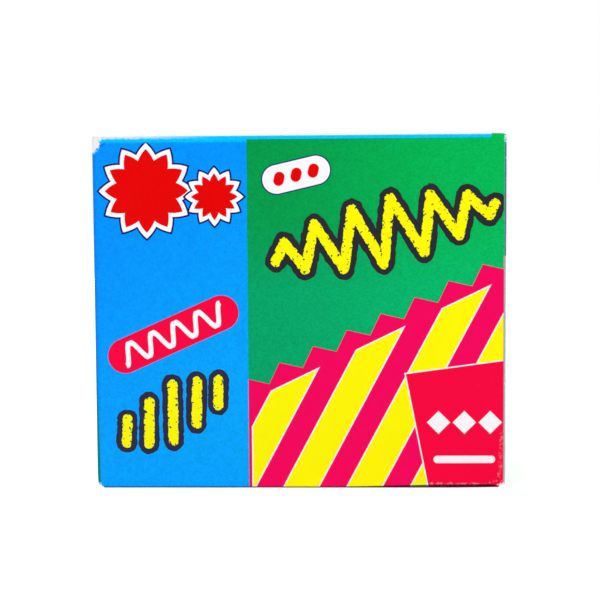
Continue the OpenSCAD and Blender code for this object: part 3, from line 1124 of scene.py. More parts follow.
# %% Sky blue below the lid
DUST_INK = WALL_HIGH - 0.85
SKY_RISE = {"From Min": WALL_HIGH - 1.9, "From Max": WALL_HIGH - 0.9}
SKY_BESIDE = {"From Min": FIELD_EDGE + 0.1, "From Max": FIELD_EDGE}
SKY_END = ((46, TOP), (45.4, TOP - 2))
PAST_THE_EDGE = 50


def lid_blue(tree, place, across, up, colour):
    """The lid's sky blue, which runs a little way down the front."""
    rise = add(tree, "MapRange", {"Value": up, **SKY_RISE}, **SOFT)
    over_blue = add(tree, "MapRange", {"Value": across, **SKY_BESIDE}, **SOFT)
    share = add(tree, "Math", {0: rise, 1: over_blue}, operation="MULTIPLY")
    colour = add(tree, "Mix", {0: share, 6: colour, 7: ink(SKY)}, out=2, data_type="RGBA")
    crease = beyond(tree, place, (PAST_THE_EDGE, DUST_INK), (-PAST_THE_EDGE, DUST_INK))
    return lay(tree, colour, SKY, overlap(tree, crease, beyond(tree, place, *SKY_END)))


print(f"the lid's ink starts {TOP - DUST_INK:.2f} mm below the top")

# %% [markdown]
# ## The whole main panel
# The parts are laid over each other in the order in which they cover each other. None of them
# is lettering: the bursts, waves, marks and bars are plain shapes of this lesson's own. The
# back has the same print, read the other way across.

# %% Main panel


def main_panel_print(tree, direction):
    """The inks of the front (direction 1) or of the back (-1), as one colour."""
    place = wall_place(tree, "X", direction)
    parts = add(tree, "SeparateXYZ", {0: place}).node.outputs
    across, up = parts["X"], parts["Y"]
    colour = fields(tree, across, up)
    colour = lay_bursts(tree, place, colour, BURSTS, BURST_LAYERS)
    colour = plate(tree, place, colour)
    colour = ribbon(tree, place, colour)
    colour = chalk_marks(tree, place, colour, DASHES, SLATE_BLUE, DASH_RIM)
    colour = chalk_marks(tree, place, colour, [SCRIBBLE], SOFT_BLACK, SCRIBBLE_RIM)
    colour = magenta_corner(tree, place, across, colour)
    colour = crimson_plate(tree, place, colour)
    # painted shade in the left crease and below the bare corner
    colour = shaded_left_crease(tree, place, across, colour, direction)
    # the side walls' inks, and a painted highlight on the round of the right crease
    colour = spilled_inks_and_highlight(tree, across, up, colour)
    return lid_blue(tree, place, across, up, colour)


print("the main panel is laid in eleven steps, from the fields to the lid's ink")

# %% [markdown]
# ## Side walls
# The narrow panels are plainer, as on most cartons: a label with a zigzag and some chalk marks
# on green, and a wavy line and bursts on magenta and green. They could repeat the front, but
# a row of cartons on a shelf is read from the side, by its ground colours. The front's inks
# run round the upright creases here too.

# %% Left wall
CYAN, SIDE_GREEN_LOW = "#0aaaee", "#008a78"
SIDE_DRIFT = (0, 85)
SIDE_LABEL = [(-24, 55), (24, 55)]
SIDE_LABEL_LAYERS = ((NAVY, 11.6), (PAPER, 11))
SIDE_ZIGZAG = [(-23, 52), (-17.5, 58.5), (-12, 51), (-6.5, 59), (-1, 51), (4.5, 59), (10, 51),
               (15.5, 58.5), (21, 52), (24, 56.5)]
ZIGZAG_HALF = 1.3
SIDE_DASHES = [turned((x, 22), -20, [(0, -5), (0, 5)]) for x in (-20, -10, 0, 10, 20)]
BLUE_STOPS = 50


def behind_front(tree, depth):
    """Distance behind the front wall, below zero up to depth mm."""
    y = add(tree, "SeparateXYZ", {0: place_in_mm(tree)}, out="Y")
    return add(tree, "Math", {0: y, 1: FRONT + depth}, operation="SUBTRACT")


def green_side_print(tree):
    """The left side: a label on green, and the front's blue running round the upper crease."""
    place = wall_place(tree, "Y", -1)
    height = add(tree, "SeparateXYZ", {0: place}, out="Y")
    colour = fade(tree, SIDE_GREEN_LOW, SIDE_GREEN, height, *SIDE_DRIFT)
    colour = lay_all(tree, colour, stroke(tree, place, SIDE_LABEL), *SIDE_LABEL_LAYERS)
    colour = lay(tree, colour, RED, stroke(tree, place, SIDE_ZIGZAG), ZIGZAG_HALF)
    colour = chalk_marks(tree, place, colour, SIDE_DASHES, SLATE_BLUE, DASH_RIM)
    upper = add(tree, "Math", {0: BLUE_STOPS, 1: height}, operation="SUBTRACT")
    return lay(tree, colour, CYAN, overlap(tree, upper, behind_front(tree, FOLD)))


print("left wall: a label,", len(SIDE_ZIGZAG) - 1, "strokes and", len(SIDE_DASHES), "marks")

# %% Right wall
SIDE_WAVE = {"centre": (0, 70), "degrees": 0, "half": 29.7, "height": 5, "length": 13.2,
             "thickness": 2.2}
SIDE_BURSTS = [((x, 29), 7.5, 2.1) for x in (-27, 0, 27)]
SIDE_BURST_LAYERS = ((NAVY, 1.8), (PAPER, 1.3), (RED, 0))


def two_tone_side_print(tree):
    """The right side: magenta over green, with the inks rubbed thin along the front crease."""
    place = wall_place(tree, "Y", 1)
    height = add(tree, "SeparateXYZ", {0: place}, out="Y")
    upper = add(tree, "Math", {0: SIDE_SPLIT, 1: height}, operation="SUBTRACT")
    colour = lay_all(tree, GREEN_RIGHT, upper, (PAPER, THIN_OUTLINE), (MAGENTA, 0))
    colour = lay_bursts(tree, place, colour, SIDE_BURSTS, SIDE_BURST_LAYERS)
    colour = lay(tree, colour, PAPER, wave(tree, place, **SIDE_WAVE))
    rubbed = lay(tree, PALE_TEAL, ROSE, upper)
    return lay(tree, colour, rubbed, behind_front(tree, FOLD))


print("right wall:", len(SIDE_BURSTS), "bursts, magenta above", SIDE_SPLIT, "mm")

# %% [markdown]
# ## Lid and bottom
# The lid and the dust flaps carry one flat ink, a sky blue that clouds over a few centimetres.
# The bottom is hidden on a shelf, so a printer saves the ink there: it is bare coated board,
# and only the front's inks run a little way under it, past the crease.

# %% Lid and bottom
LID_CLOUD = 30
SKY_DEEP = "#00b4fa"
BLEED = 3.2


def top_print(tree):
    """The lid and the dust flaps: sky blue."""
    cloud = add(tree, "TexNoise", {"Vector": place_in_mm(tree), "Scale": 1 / LID_CLOUD, **NOISE})
    return add(tree, "Mix", {0: cloud, 6: ink(SKY), 7: ink(SKY_DEEP)}, out=2, data_type="RGBA")


def bottom_print(tree):
    """The glued bottom: bare coated board, with the front's inks running a little way under."""
    place = add(tree, "SeparateXYZ", {0: place_in_mm(tree)}).node.outputs
    field = add(tree, "Math", {0: place["X"], 1: FIELD_EDGE}, operation="SUBTRACT")
    edge = add(tree, "Math", {0: place["Y"], 1: FRONT + BLEED}, operation="SUBTRACT")
    return lay(tree, PAPER, lay(tree, MAGENTA, BLUE_LOW, field), edge)


print(f"the front's inks run {BLEED} mm under the bottom")

# %% [markdown]
# ## Wear of the ink
# Where a crease or a corner is knocked, the ink and the clay coat crack off together and the
# white pulp shows, with a rim of thinned ink round it. It could be painted by hand as a mask.
# Here each bare spot is a short stroke in space, so that it runs over the crease on to the
# next panel, and its edge is torn in waves of under 1 mm, as wide as the flakes that come off.

# %% Bare spots
WORN_SPOTS = [
    # from, to, radius, all in mm
    ((LEFT + 0.2, FRONT, TOP - 0.4), (LEFT - 0.3, FRONT, TOP - 2.4), 1.75),
    ((RIGHT - 0.1, FRONT + 0.2, TOP - 0.4), (RIGHT - 0.1, FRONT + 0.2, TOP - 1.3), 0.42),
    ((RIGHT - 0.1, FRONT + 0.2, TOP - 1.3), (RIGHT - 0.1, FRONT + 0.2, TOP - 2.4), 0.12),
    ((LEFT + 0.1, FRONT + 0.2, 0.8), (LEFT + 0.8, FRONT, 0.1), 0.3),
    ((RIGHT - 1.3, FRONT, 0.5), (RIGHT - 0.3, FRONT, 1.0), 0.4),
    ((RIGHT - 0.3, BACK, TOP - 0.5), (RIGHT - 0.3, BACK, TOP - 2.5), 0.7),
    ((LEFT, FRONT + 30, TOP - 0.1), (LEFT, FRONT + 44, TOP), 0.25),
]
SPOT_TEAR, RIM_TEAR = (0.9, 0.5), (0.5, 0.5)
WORN_EDGE = 0.08
RIM_RANGE = {"From Min": 0.35, "From Max": 0.15, "To Max": 0.7}


def bare_spots(tree, place):
    """Where the ink is gone in the worn spots, and the thinned ink round them."""
    nearest = None
    for start, end, radius in WORN_SPOTS:
        gap = stroke(tree, place, [start, end])
        gap = add(tree, "Math", {0: gap, 1: radius}, operation="SUBTRACT")
        nearest = gap if nearest is None else add(
            tree, "Math", {0: nearest, 1: gap}, operation="MINIMUM")
    bare = torn(tree, nearest, place, *SPOT_TEAR)
    spots = add(tree, "MapRange", {"Value": bare, "From Min": WORN_EDGE,
                                   "From Max": -WORN_EDGE}, **SOFT)
    thin = torn(tree, nearest, place, *RIM_TEAR)
    return spots, add(tree, "MapRange", {"Value": thin, **RIM_RANGE}, **SOFT)


print(len(WORN_SPOTS), "bare spots")

# %% [markdown]
# ### Scuffs
# The crushed corner has rubbed along a shelf, which leaves flecks of thinned ink along the
# base and up the right edge. Noise is let through only near that line: the nearer, the more.

# %% Scuffs
SCUFFED = [(28, FRONT, 0.9), (44, FRONT, 1.0), (47.9, FRONT, 1.9), (48.5, FRONT, 14)]
SCUFF_DEPTH = 0.1
SCUFF_NEARNESS = {"From Min": 0.9, "From Max": 0.2, "To Max": 0.25}
FLECK_SIZE, FLECK_DETAIL = 0.8, 3.0
FLECK_RANGE = {"From Min": 0.70, "From Max": 0.92, "To Max": 0.4}


def scuffs(tree, place):
    """Flecks of thinned ink along the crushed corner."""
    nearness = overlap(tree, stroke(tree, place, SCUFFED), behind_front(tree, SCUFF_DEPTH))
    nearness = add(tree, "MapRange", {"Value": nearness, **SCUFF_NEARNESS}, **SOFT)
    flecks = add(tree, "TexNoise", {"Vector": place, "Scale": 1 / FLECK_SIZE, **NOISE,
                                    "Detail": FLECK_DETAIL})
    flecks = add(tree, "Math", {0: nearness, 1: flecks}, operation="ADD")
    return add(tree, "MapRange", {"Value": flecks, **FLECK_RANGE}, **SOFT)


print(f"flecks about {FLECK_SIZE} mm wide")

# %% [markdown]
# ### Rubbed creases
# Creases are the first to rub bare, in single grains, and most where hands take the carton. A
# place lies on a crease when it is at the end of two axes at once, so each axis gives a share
# that rises at its end, and the shares are multiplied two by two. The grain of clay coat that
# breaks off is about 0.1 mm; it is drawn 0.55 mm wide, because a finer one doesn't show.

# %% Rubbed creases
CREASES = (("X", RIGHT - 1.1, RIGHT - 0.1), ("Y", BACK - 1.1, BACK - 0.1),
           ("Z", TOP / 2 - 1.3, TOP / 2 - 0.4))
RUB_GRAIN, RUB_DETAIL = 0.55, 4.0
HANDLED_PATCH, HANDLED_LEAST, HANDLED_MOST, HANDLED_SPAN = 9, 0.3, 1.1, (0.35, 0.75)
HANDLED = {"From Min": -30, "From Max": 40, "To Min": 0.08, "To Max": 0.30}
GRAIN_RANGE = {"From Min": 0.78, "From Max": 0.84, "To Max": 0.65}


def rubbed_creases(tree, place):
    """Grains of bare pulp along the creases, more of them towards the right."""
    middle = add(tree, "VectorMath", {0: place, 1: (0, 0, TOP / 2)}, operation="SUBTRACT")
    middle = add(tree, "VectorMath", {0: middle}, operation="ABSOLUTE")
    parts = add(tree, "SeparateXYZ", {0: middle}).node.outputs
    x, y, z = (add(tree, "MapRange", {"Value": parts[axis], "From Min": start, "From Max": end},
                   **SOFT) for axis, start, end in CREASES)
    creases = None
    for one, two in ((x, y), (y, z), (x, z)):
        both = add(tree, "Math", {0: one, 1: two}, operation="MULTIPLY")
        creases = both if creases is None else add(
            tree, "Math", {0: creases, 1: both}, operation="MAXIMUM")
    grain = add(tree, "TexNoise", {"Vector": place, "Scale": 1 / RUB_GRAIN, **NOISE,
                                   "Detail": RUB_DETAIL})
    rightwards = add(tree, "SeparateXYZ", {0: place}, out="X")
    handled = add(tree, "MapRange", {"Value": rightwards, **HANDLED}, **SOFT)
    patch = patches(tree, place, HANDLED_PATCH, HANDLED_LEAST, HANDLED_MOST, HANDLED_SPAN)
    handled = add(tree, "Math", {0: handled, 1: patch}, operation="MULTIPLY")
    weak = add(tree, "Math", {0: creases, 1: handled, 2: grain}, operation="MULTIPLY_ADD")
    return add(tree, "MapRange", {"Value": weak, **GRAIN_RANGE}, **SOFT)


print(f"grains about {RUB_GRAIN} mm wide")

# %% [markdown]
# ### The crease below the lid
# Thumbs that open the lid rub the crease under it pale, most near the left corner. It is a
# narrow band round a line that runs the whole width, faded out towards the middle.

# %% Worn places together
LID_RUB_LINE = (0, FRONT + 0.1, WALL_HIGH)
LID_RUB_TEAR = (0.9, 0.12)
LID_RUB_BAND = {"From Min": 0.75, "From Max": 0.2}
LID_RUB_LEFTWARDS = {"From Min": -20, "From Max": -44, "To Max": 0.85}


def rubbed_lid_crease(tree, place):
    """The pale band along the crease below the lid."""
    offset = add(tree, "VectorMath", {0: place, 1: LID_RUB_LINE}, operation="SUBTRACT")
    offset = add(tree, "VectorMath", {0: offset, 1: (0, 1, 1)}, operation="MULTIPLY")
    gap = add(tree, "VectorMath", {0: offset}, out="Value", operation="LENGTH")
    gap = torn(tree, gap, place, *LID_RUB_TEAR)
    along = add(tree, "SeparateXYZ", {0: place}, out="X")
    band = add(tree, "MapRange", {"Value": gap, **LID_RUB_BAND}, **SOFT)
    leftwards = add(tree, "MapRange", {"Value": along, **LID_RUB_LEFTWARDS}, **SOFT)
    return add(tree, "Math", {0: band, 1: leftwards}, operation="MULTIPLY")


def worn_places(tree):
    """How far the ink is gone, and how far it is only thinned."""
    place = place_in_mm(tree)
    spots, rims = bare_spots(tree, place)
    thin = add(tree, "Math", {0: rims, 1: scuffs(tree, place)}, operation="MAXIMUM")
    worn = add(tree, "Math", {0: spots, 1: rubbed_creases(tree, place)}, operation="MAXIMUM")
    rubbed = rubbed_lid_crease(tree, place)
    return add(tree, "Math", {0: worn, 1: rubbed}, operation="MAXIMUM"), thin


print(f"the crease below the lid is rubbed {LID_RUB_BAND['From Min']} mm to each side")

# %% [markdown]
# ### Painted shade at the bottom crease
# Where the front turns under at its base, the board faces away from the light and lies in shade.
# That shade is painted: a dark blue is multiplied over the finished colour in a strip along the
# bottom front crease. The strip is under 1 mm high and grows towards the right, where the
# corner is crushed and the fold is pushed in.

# %% Painted shade under the bottom crease
# painted shade: a dark blue for the crease where it turns under, away from the light
CREASE_SHADE = "#4d6190"
CREASE_SHADE_GROWS = {"From Min": 5, "From Max": 38, "To Min": 0.36, "To Max": 0.88}
CREASE_SHADE_ENDS = {"From Min": 46, "From Max": 48.8, "To Max": 0.55}
CREASE_SHADE_UNDER = FOLD + 0.3


def shade_under_bottom_crease(tree):
    """Where shade is painted: 1 along the bottom front crease, in a strip that grows towards the
    right.
    """
    place = add(tree, "SeparateXYZ", {0: place_in_mm(tree)}).node.outputs
    grows = add(tree, "MapRange", {"Value": place["X"], **CREASE_SHADE_GROWS}, **SOFT)
    ends = add(tree, "MapRange", {"Value": place["X"], **CREASE_SHADE_ENDS}, **SOFT)
    reach = add(tree, "Math", {0: grows, 1: ends}, operation="SUBTRACT")
    up = add(tree, "Math", {0: place["Z"], 1: reach}, operation="SUBTRACT")
    strip = overlap(tree, up, behind_front(tree, CREASE_SHADE_UNDER))
    return add(tree, "MapRange", {"Value": strip, "From Min": WORN_EDGE,
                                  "From Max": -WORN_EDGE}, **SOFT)


print(f"the dirt is up to {CREASE_SHADE_GROWS['To Max']} mm high")

# %% [markdown]
# ## Coated paperboard
# Folding boxboard is white pulp with a thin coat of clay, printed in offset and varnished. To
# the eye it is smooth, with flat inks that are a little uneven and a faint sheen. A plain
# coloured plastic could stand for it, but then the creases would look as smooth as the panels.
# A film of varnish has an IOR of 1.5 and a roughness of about 0.4, and bare pulp one of 0.9.
# A gloss varnish reflects with Blender's usual specular level of 0.5. This one is matt and
# lies thin over the inks, which keeps them deep, so its level is only 0.06.

# %% Uneven ink
# offset ink clouds over about a millimetre; its dots, 0.17 mm apart, are too fine to show,
# so the grain that they leave is drawn 0.5 mm wide
CLOUD_SIZE, CLOUDY = 1.3, 0.03
INK_GRAIN_SIZE, GRAINY = 0.5, 0.10
THIN_BLUE, THIN_RED = "#8ce4f2", "#f8b4bc"


def uneven_ink(tree, place, colour):
    """The cyan lies less evenly than the other inks, so red and yellow stay flat."""
    clouds = patches(tree, place, CLOUD_SIZE, -CLOUDY, CLOUDY)
    grain = patches(tree, place, INK_GRAIN_SIZE, -GRAINY, GRAINY)
    mottle = add(tree, "Math", {0: clouds, 1: grain}, operation="ADD")
    red = add(tree, "SeparateColor", {"Color": colour}, out="Red")
    cyan = add(tree, "Math", {0: 1.0, 1: red}, operation="SUBTRACT")
    value = add(tree, "Math", {0: mottle, 1: cyan, 2: 1.0}, operation="MULTIPLY_ADD")
    return add(tree, "HueSaturation", {"Value": value, "Color": colour}, out="Color")


def thinned_ink(tree, place, colour, thin):
    """Thinned blue and green look pale blue, and thinned magenta, low on the right, pale red."""
    parts = add(tree, "SeparateXYZ", {0: place}).node.outputs
    low = add(tree, "Math", {0: parts["Z"], 1: SIDE_SPLIT}, operation="SUBTRACT")
    rightwards = add(tree, "Math", {0: FIELD_EDGE, 1: parts["X"]}, operation="SUBTRACT")
    pale = lay(tree, THIN_BLUE, THIN_RED, overlap(tree, low, rightwards))
    return add(tree, "Mix", {0: thin, 6: colour, 7: pale}, out=2, data_type="RGBA")


print(f"the ink varies by {CLOUDY:.0%} in clouds and {GRAINY:.0%} in grain")

# %% [markdown]
# ### The surface of the board
# Board is never quite flat. It cockles over 2 or 3 centimetres as it takes up moisture, and the
# sheen of the varnish varies over some millimetres. The fibres under the coat are 0.03 mm
# thick: too fine to show, so they are drawn 0.35 mm wide. All this is far too shallow to
# model, so it is a bump of hundredths of a millimetre. Bare pulp lies a little deeper.

# %% Surface of the board
COCKLE_SIZE, COCKLE_DETAIL, COCKLE_HEIGHT = 24, 1.0, 6.0
SHEEN_PATCH, SHEEN_CHANGE = 6, 0.04
COVERED_FIBRE = 0.35
RELIEF_MM, RELIEF_STRENGTH = 0.02, 0.6
WORN_DEPTH = -2.0
ROUGH_VARNISH, ROUGH_PULP = 0.4, 0.9


def board_surface(tree, place, worn):
    """The roughness and the relief of varnished board, and of bare pulp where it is worn."""
    rough = add(tree, "MapRange", {"Value": worn, "To Min": ROUGH_VARNISH,
                                   "To Max": ROUGH_PULP}, **SOFT)
    sheen = patches(tree, place, SHEEN_PATCH, -SHEEN_CHANGE, SHEEN_CHANGE)
    rough = add(tree, "Math", {0: rough, 1: sheen}, operation="ADD")
    cockle, fibre = (
        add(tree, "TexNoise", {"Vector": place, "Scale": 1 / size, **NOISE, "Detail": detail})
        for size, detail in ((COCKLE_SIZE, COCKLE_DETAIL), (COVERED_FIBRE, NOISE["Detail"])))
    relief = add(tree, "Math", {0: cockle, 1: COCKLE_HEIGHT, 2: fibre}, operation="MULTIPLY_ADD")
    relief = add(tree, "Math", {0: worn, 1: WORN_DEPTH, 2: relief}, operation="MULTIPLY_ADD")
    return rough, add(tree, "Bump", {"Height": relief, "Distance": RELIEF_MM * MM,
                                     "Strength": RELIEF_STRENGTH})


print(f"the relief is {RELIEF_MM} mm deep")

# %% [markdown]
# ### Board, ink and wear together
# The steps follow the print, its unevenness, the ink that has worn thin, the pulp where it has
# gone, and, on top of all, the painted shade along the bottom crease.

# %% Coated board
BARE_PULP = "#ece7ee"
VARNISH_IOR, MATT_VARNISH = 1.5, 0.06


def coated_board(name, draw, *settings):
    """Varnished, offset-printed paperboard whose ink is given by draw."""
    material, tree = new_material(name)
    place = place_in_mm(tree)
    colour = uneven_ink(tree, place, draw(tree, *settings))
    worn, thin = worn_places(tree)
    colour = thinned_ink(tree, place, colour, thin)
    colour = add(tree, "Mix", {0: worn, 6: colour, 7: ink(BARE_PULP)}, out=2, data_type="RGBA")
    # painted shade along the bottom front crease, multiplied over all
    colour = add(tree, "Mix", {0: shade_under_bottom_crease(tree), 6: colour, 7: ink(CREASE_SHADE)}, out=2,
                 data_type="RGBA", blend_type="MULTIPLY")
    rough, bump = board_surface(tree, place, worn)
    shader = add(tree, "BsdfPrincipled", {
        "Base Color": colour, "Roughness": rough, "Normal": bump, "IOR": VARNISH_IOR,
        "Specular IOR Level": MATT_VARNISH})
    add(tree, "OutputMaterial", {"Surface": shader})
    return material


print(f"varnish: IOR {VARNISH_IOR}, roughness {ROUGH_VARNISH}, specular level {MATT_VARNISH}")

# %% [markdown]
# ### Bare pulp
# The inside and the cut edge are uncoated: matt, slightly grey or white, with a faint felt of
# fibres. Paper fibre has an IOR of about 1.45 and a roughness of 0.9. Softwood fibres are 1 to
# 3 mm long and 0.03 mm thick. They are too fine to show, so they are drawn 0.6 mm thick, and
# stretched to nearly 2 mm along the board's grain.

# %% Bare pulp
PULP_FIBRE, FIBRE_STRETCH = 0.6, (0.35, 1, 1)
FIBRE_NOISE = {"Detail": 4.0, "Roughness": 0.7}
FELT_RANGE = {"From Min": 0.35, "From Max": 0.75}
PULP_CLOUD = 5
PULP_RELIEF_MM, PULP_RELIEF_STRENGTH = 0.03, 0.7
PULP_IOR, PULP_SHEEN = 1.45, 0.3


def pulp(name, light, dark, rough):
    """Uncoated white pulp board, with short fibres."""
    material, tree = new_material(name)
    place = place_in_mm(tree)
    stretched = add(tree, "Mapping", {"Vector": place, "Scale": FIBRE_STRETCH})
    fibres = add(tree, "TexNoise", {"Vector": stretched, "Scale": 1 / PULP_FIBRE,
                                    **FIBRE_NOISE})
    clouds = add(tree, "TexNoise", {"Vector": place, "Scale": 1 / PULP_CLOUD, **NOISE})
    felt = add(tree, "MapRange", {"Value": fibres, **FELT_RANGE}, **SOFT)
    felt = add(tree, "Math", {0: felt, 1: clouds}, operation="MULTIPLY")
    colour = add(tree, "Mix", {0: felt, 6: ink(light), 7: ink(dark)}, out=2, data_type="RGBA")
    bump = add(tree, "Bump", {"Height": fibres, "Distance": PULP_RELIEF_MM * MM,
                              "Strength": PULP_RELIEF_STRENGTH})
    shader = add(tree, "BsdfPrincipled", {
        "Base Color": colour, "Roughness": rough, "Normal": bump, "IOR": PULP_IOR,
        "Specular IOR Level": PULP_SHEEN})
    add(tree, "OutputMaterial", {"Surface": shader})
    return material


print(f"pulp: IOR {PULP_IOR}, fibres drawn {PULP_FIBRE} mm thick")

# %% [markdown]
# ### One material for each panel
# A single material could choose its drawing by the face's direction, but every point would then
# work out all six. Each panel gets a material of its own, from the same function, so the
# varnish and the wear are the same all round and run on over the creases.

# %% The board's materials
MATERIALS = {
    "front": coated_board("coated_paperboard_main_panel", main_panel_print, 1),
    "back": coated_board("coated_paperboard_back_panel", main_panel_print, -1),
    "left": coated_board("coated_paperboard_green_side", green_side_print),
    "right": coated_board("coated_paperboard_two_tone_side", two_tone_side_print),
    "top": coated_board("coated_paperboard_lid", top_print),
    "bottom": coated_board("coated_paperboard_bottom", bottom_print),
    "inside": pulp("uncoated_pulp_board_inside", light="#eeebe7", dark="#d9d3cc", rough=0.92),
    "edge": pulp("cut_pulp_board_edge", light="#fffdff", dark="#efe9f1", rough=ROUGH_PULP),
}
for material in MATERIALS.values():
    print(f"{material.name}: {len(material.node_tree.nodes)} nodes")

# %% [markdown]
# ## Chalk
# The sticks stand in rows. Their shapes come from the CAD model, slightly tapered, with a
# rounded rim at both ends. They could be modelled again, but there is nothing to add to a plain
# stick except its surface. The material has to know where each stick stands, so that each can
# differ a little from the next: the pitch is measured from the first row's box.

# %% Sticks in their rows
STICK_PLAY = 0.1
STICKS = 10
rows = sorted(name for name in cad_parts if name.startswith("chalk_row"))
first_low, first_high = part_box(rows[0])
STICK_PITCH = ((first_high[0] - first_low[0]) / MM + STICK_PLAY) / STICKS
STICK_CORNER = (first_low[0] / MM - STICK_PLAY / 2, first_low[1] / MM - STICK_PLAY / 2, 0)
STICK_TOP = first_high[2] / MM
print(f"{len(rows)} rows, {STICK_PITCH:.2f} mm from stick to stick, tops at {STICK_TOP:.2f} mm")

# %% [markdown]
# ### Pores and batches
# Dustless chalk is a paste of calcium carbonate, clay and binder that is moulded wet and baked.
# To the eye it is matt and light, with fine pores. Air leaves pores of 0.1 to 0.3 mm; they
# are drawn 0.3 mm wide and 0.7 mm apart. The grit of the powder is a few hundredths of a
# millimetre, too fine to show, and is drawn 0.25 mm wide. Dust lies in patches of 3 mm. A
# random number for each stick makes some a little deeper in colour, as batches differ.

# %% Pores, dust and batches
CHALK, CHALK_DUSTED, CHALK_DEEP = "#f1dd45", "#f7ea84", "#ecd23c"
PORES_PER_MM, PORE_EDGE = 1.4, 0.22
GRIT, GRIT_DETAIL = 0.25, 4.0
DUST_PATCH, DUST_DETAIL, DUST_SPAN = 3.0, 3.0, (0.35, 0.7)
BATCH_SHARE = 0.45
# a cell as high as this holds the whole of a stick
FAR_UP = 1000

moulded_chalk, tree = new_material("moulded_chalk")
place = place_in_mm(tree)
pores = add(tree, "TexVoronoi", {"Vector": place, "Scale": PORES_PER_MM})
pits = add(tree, "MapRange", {"Value": pores, "From Max": PORE_EDGE}, **SOFT)
grit, dust = (
    add(tree, "TexNoise", {"Vector": place, "Scale": 1 / size, **NOISE, "Detail": detail})
    for size, detail in ((GRIT, GRIT_DETAIL), (DUST_PATCH, DUST_DETAIL)))
from_corner = add(tree, "VectorMath", {0: place, 1: STICK_CORNER}, operation="SUBTRACT")
cell = add(tree, "VectorMath", {0: from_corner, 1: (STICK_PITCH, STICK_PITCH, FAR_UP)},
           operation="SNAP")
batch = add(tree, "TexWhiteNoise", {"Vector": cell}, out="Value")
colour = fade(tree, CHALK, CHALK_DUSTED, dust, *DUST_SPAN)
colour = fade(tree, colour, CHALK_DEEP, batch, 0, 1, BATCH_SHARE)
print(f"pores {1 / PORES_PER_MM:.2f} mm apart, grit {GRIT} mm, dust in patches of {DUST_PATCH} mm")

# %% [markdown]
# ### Rubbed rims
# The sticks knock against each other, so their upper rims are rubbed to a paler powder. Each
# stick's rim is found from the distance to the middle of its own place in the row, and only
# near the top.

# %% Rubbed rims
RUBBED_CHALK = "#fbf3b4"
RIM_WEAR = (1.3, 0.6)
RIM_BAND = {"From Min": 3.7, "From Max": 4.3, "To Max": 0.6}
RIM_DROP = (1.6, 0.5)

aside = add(tree, "VectorMath", {0: from_corner, 1: cell}, operation="SUBTRACT")
aside = add(tree, "VectorMath", {0: aside, 1: (STICK_PITCH / 2, STICK_PITCH / 2, 0)},
            operation="SUBTRACT")
aside = add(tree, "VectorMath", {0: aside, 1: (1, 1, 0)}, operation="MULTIPLY")
radius = add(tree, "VectorMath", {0: aside}, out="Value", operation="LENGTH")
rim = add(tree, "MapRange", {"Value": torn(tree, radius, place, *RIM_WEAR), **RIM_BAND}, **SOFT)
height = add(tree, "SeparateXYZ", {0: place}, out="Z")
start, end = (STICK_TOP - drop for drop in RIM_DROP)
near_top = add(tree, "MapRange", {"Value": height, "From Min": start, "From Max": end}, **SOFT)
rim = add(tree, "Math", {0: rim, 1: near_top}, operation="MULTIPLY")
colour = add(tree, "Mix", {0: rim, 6: colour, 7: ink(RUBBED_CHALK)}, out=2, data_type="RGBA")
print(f"rims rubbed from {start:.2f} mm upwards")

# %% [markdown]
# ### The finish of chalk
# Calcium carbonate has an IOR of about 1.5, but a baked paste is all pores, so it is almost
# without gloss: a roughness of 0.95 and a weak specular level. The pits are shaded and sunk
# into the relief, because a pore is dark inside.

# %% Chalk material
PIT_SHADE = 0.9
PIT_DEPTH = 1.6
CHALK_RELIEF_MM, CHALK_RELIEF_STRENGTH = 0.06, 0.8
CHALK_IOR, CHALK_ROUGHNESS, CHALK_SHEEN = 1.5, 0.95, 0.2

shade = add(tree, "MapRange", {"Value": pits, "To Min": PIT_SHADE}, **SOFT)
colour = add(tree, "HueSaturation", {"Value": shade, "Color": colour}, out="Color")
relief = add(tree, "Math", {0: pits, 1: PIT_DEPTH, 2: grit}, operation="MULTIPLY_ADD")
bump = add(tree, "Bump", {"Height": relief, "Distance": CHALK_RELIEF_MM * MM,
                          "Strength": CHALK_RELIEF_STRENGTH})
shader = add(tree, "BsdfPrincipled", {
    "Base Color": colour, "Roughness": CHALK_ROUGHNESS, "Normal": bump, "IOR": CHALK_IOR,
    "Specular IOR Level": CHALK_SHEEN})
add(tree, "OutputMaterial", {"Surface": shader})
for name in rows:
    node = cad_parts[name]
    node.data.materials.clear()
    node.data.materials.append(moulded_chalk)
print(f"moulded_chalk: {len(tree.nodes)} nodes, on {len(rows)} rows")

# %% [markdown]
# ## Thickness
# Solidify gives the sheet the thickness of the board, inwards from the printed side. It could
# have come first, but then every fold would have been made twice. Each face of the outside is
# marked beforehand with the panel it belongs to; afterwards the inner copy of the sheet is the
# bare side of the board, and the narrow faces round it are its cut edge.

# %% Panels
PANELS = ["front", "back", "left", "right", "top", "bottom", "inside", "edge"]
BEHIND_THE_WALL = 0.3
ABOVE_THE_BASE = 0.4


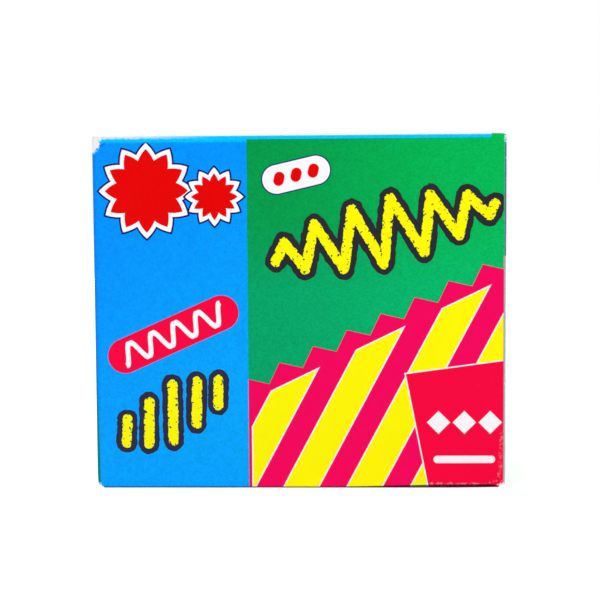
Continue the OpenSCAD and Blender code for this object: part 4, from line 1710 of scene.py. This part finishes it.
def panel_of(face):
    """The panel that an outside face belongs to, from its normal and its place."""
    x, y, z = face.center / MM
    directions = {
        "front": -face.normal.y, "back": face.normal.y, "left": -face.normal.x,
        "right": face.normal.x, "top": face.normal.z, "bottom": -face.normal.z,
    }
    panel = max(directions, key=directions.get)
    if panel == "left" and x > LEFT + BEHIND_THE_WALL:
        return "top"
    if panel == "bottom" and z > BASE + ABOVE_THE_BASE:
        return "inside"
    return panel


print("panels:", ", ".join(PANELS))

# %% Thickness
SMOOTH_BELOW = 30


def give_thickness(piece, thickness):
    """Marks the panels, adds the board's thickness and shades the creases smooth."""
    for name in PANELS:
        piece.data.materials.append(MATERIALS[name])
    for face in piece.data.polygons:
        face.material_index = PANELS.index(panel_of(face))
    sheet_faces = len(piece.data.polygons)
    # edit mode is opened and left again, because that makes the piece the active one
    edit(piece)
    bpy.ops.object.mode_set(mode="OBJECT")
    board = piece.modifiers.new("board", "SOLIDIFY")
    board.thickness = thickness * MM
    board.offset = -1
    board.use_even_offset = True
    board.use_quality_normals = True
    bpy.ops.object.modifier_apply(modifier=board.name)
    for face in piece.data.polygons:
        if face.index >= 2 * sheet_faces:
            face.material_index = PANELS.index("edge")
        elif face.index >= sheet_faces:
            face.material_index = PANELS.index("inside")
    bpy.ops.object.shade_smooth_by_angle(angle=math.radians(SMOOTH_BELOW))


print(f"edges that bend by less than {SMOOTH_BELOW} degrees are shaded smooth")

# %% [markdown]
# ## Finishing the board
# Each sheet now gets its thickness and its place in the frame. The carton and the lid ride on
# their bodies and stand for the plain CAD nodes. The crease stays where it was made. The lid's
# board is made a little thicker than the carton's, which closes the dark gap between it and
# the dust flaps.

# %% Finish the board pieces
LID_BOARD = 0.49

for piece, thickness in ((carton, BOARD), (lid, LID_BOARD), (hinge, BOARD)):
    give_thickness(piece, thickness)
    size = [round(side / MM, 2) for side in piece.dimensions]
    print(f"{piece.name}: {size} mm, {len(piece.data.polygons)} faces")
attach(carton, "carton")
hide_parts("carton")
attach(lid, "lid")
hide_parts("lid")
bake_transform(hinge)

# %% [markdown]
# ## Size
# The visual model keeps the CAD model's size. Its box is measured and printed in millimetres,
# as the CAD model's outside is near the top.

# %% Size of the visual model
bpy.context.view_layer.update()
low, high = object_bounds()
print("visual box:", [round(side / MM, 3) for side in (*low, *high)])
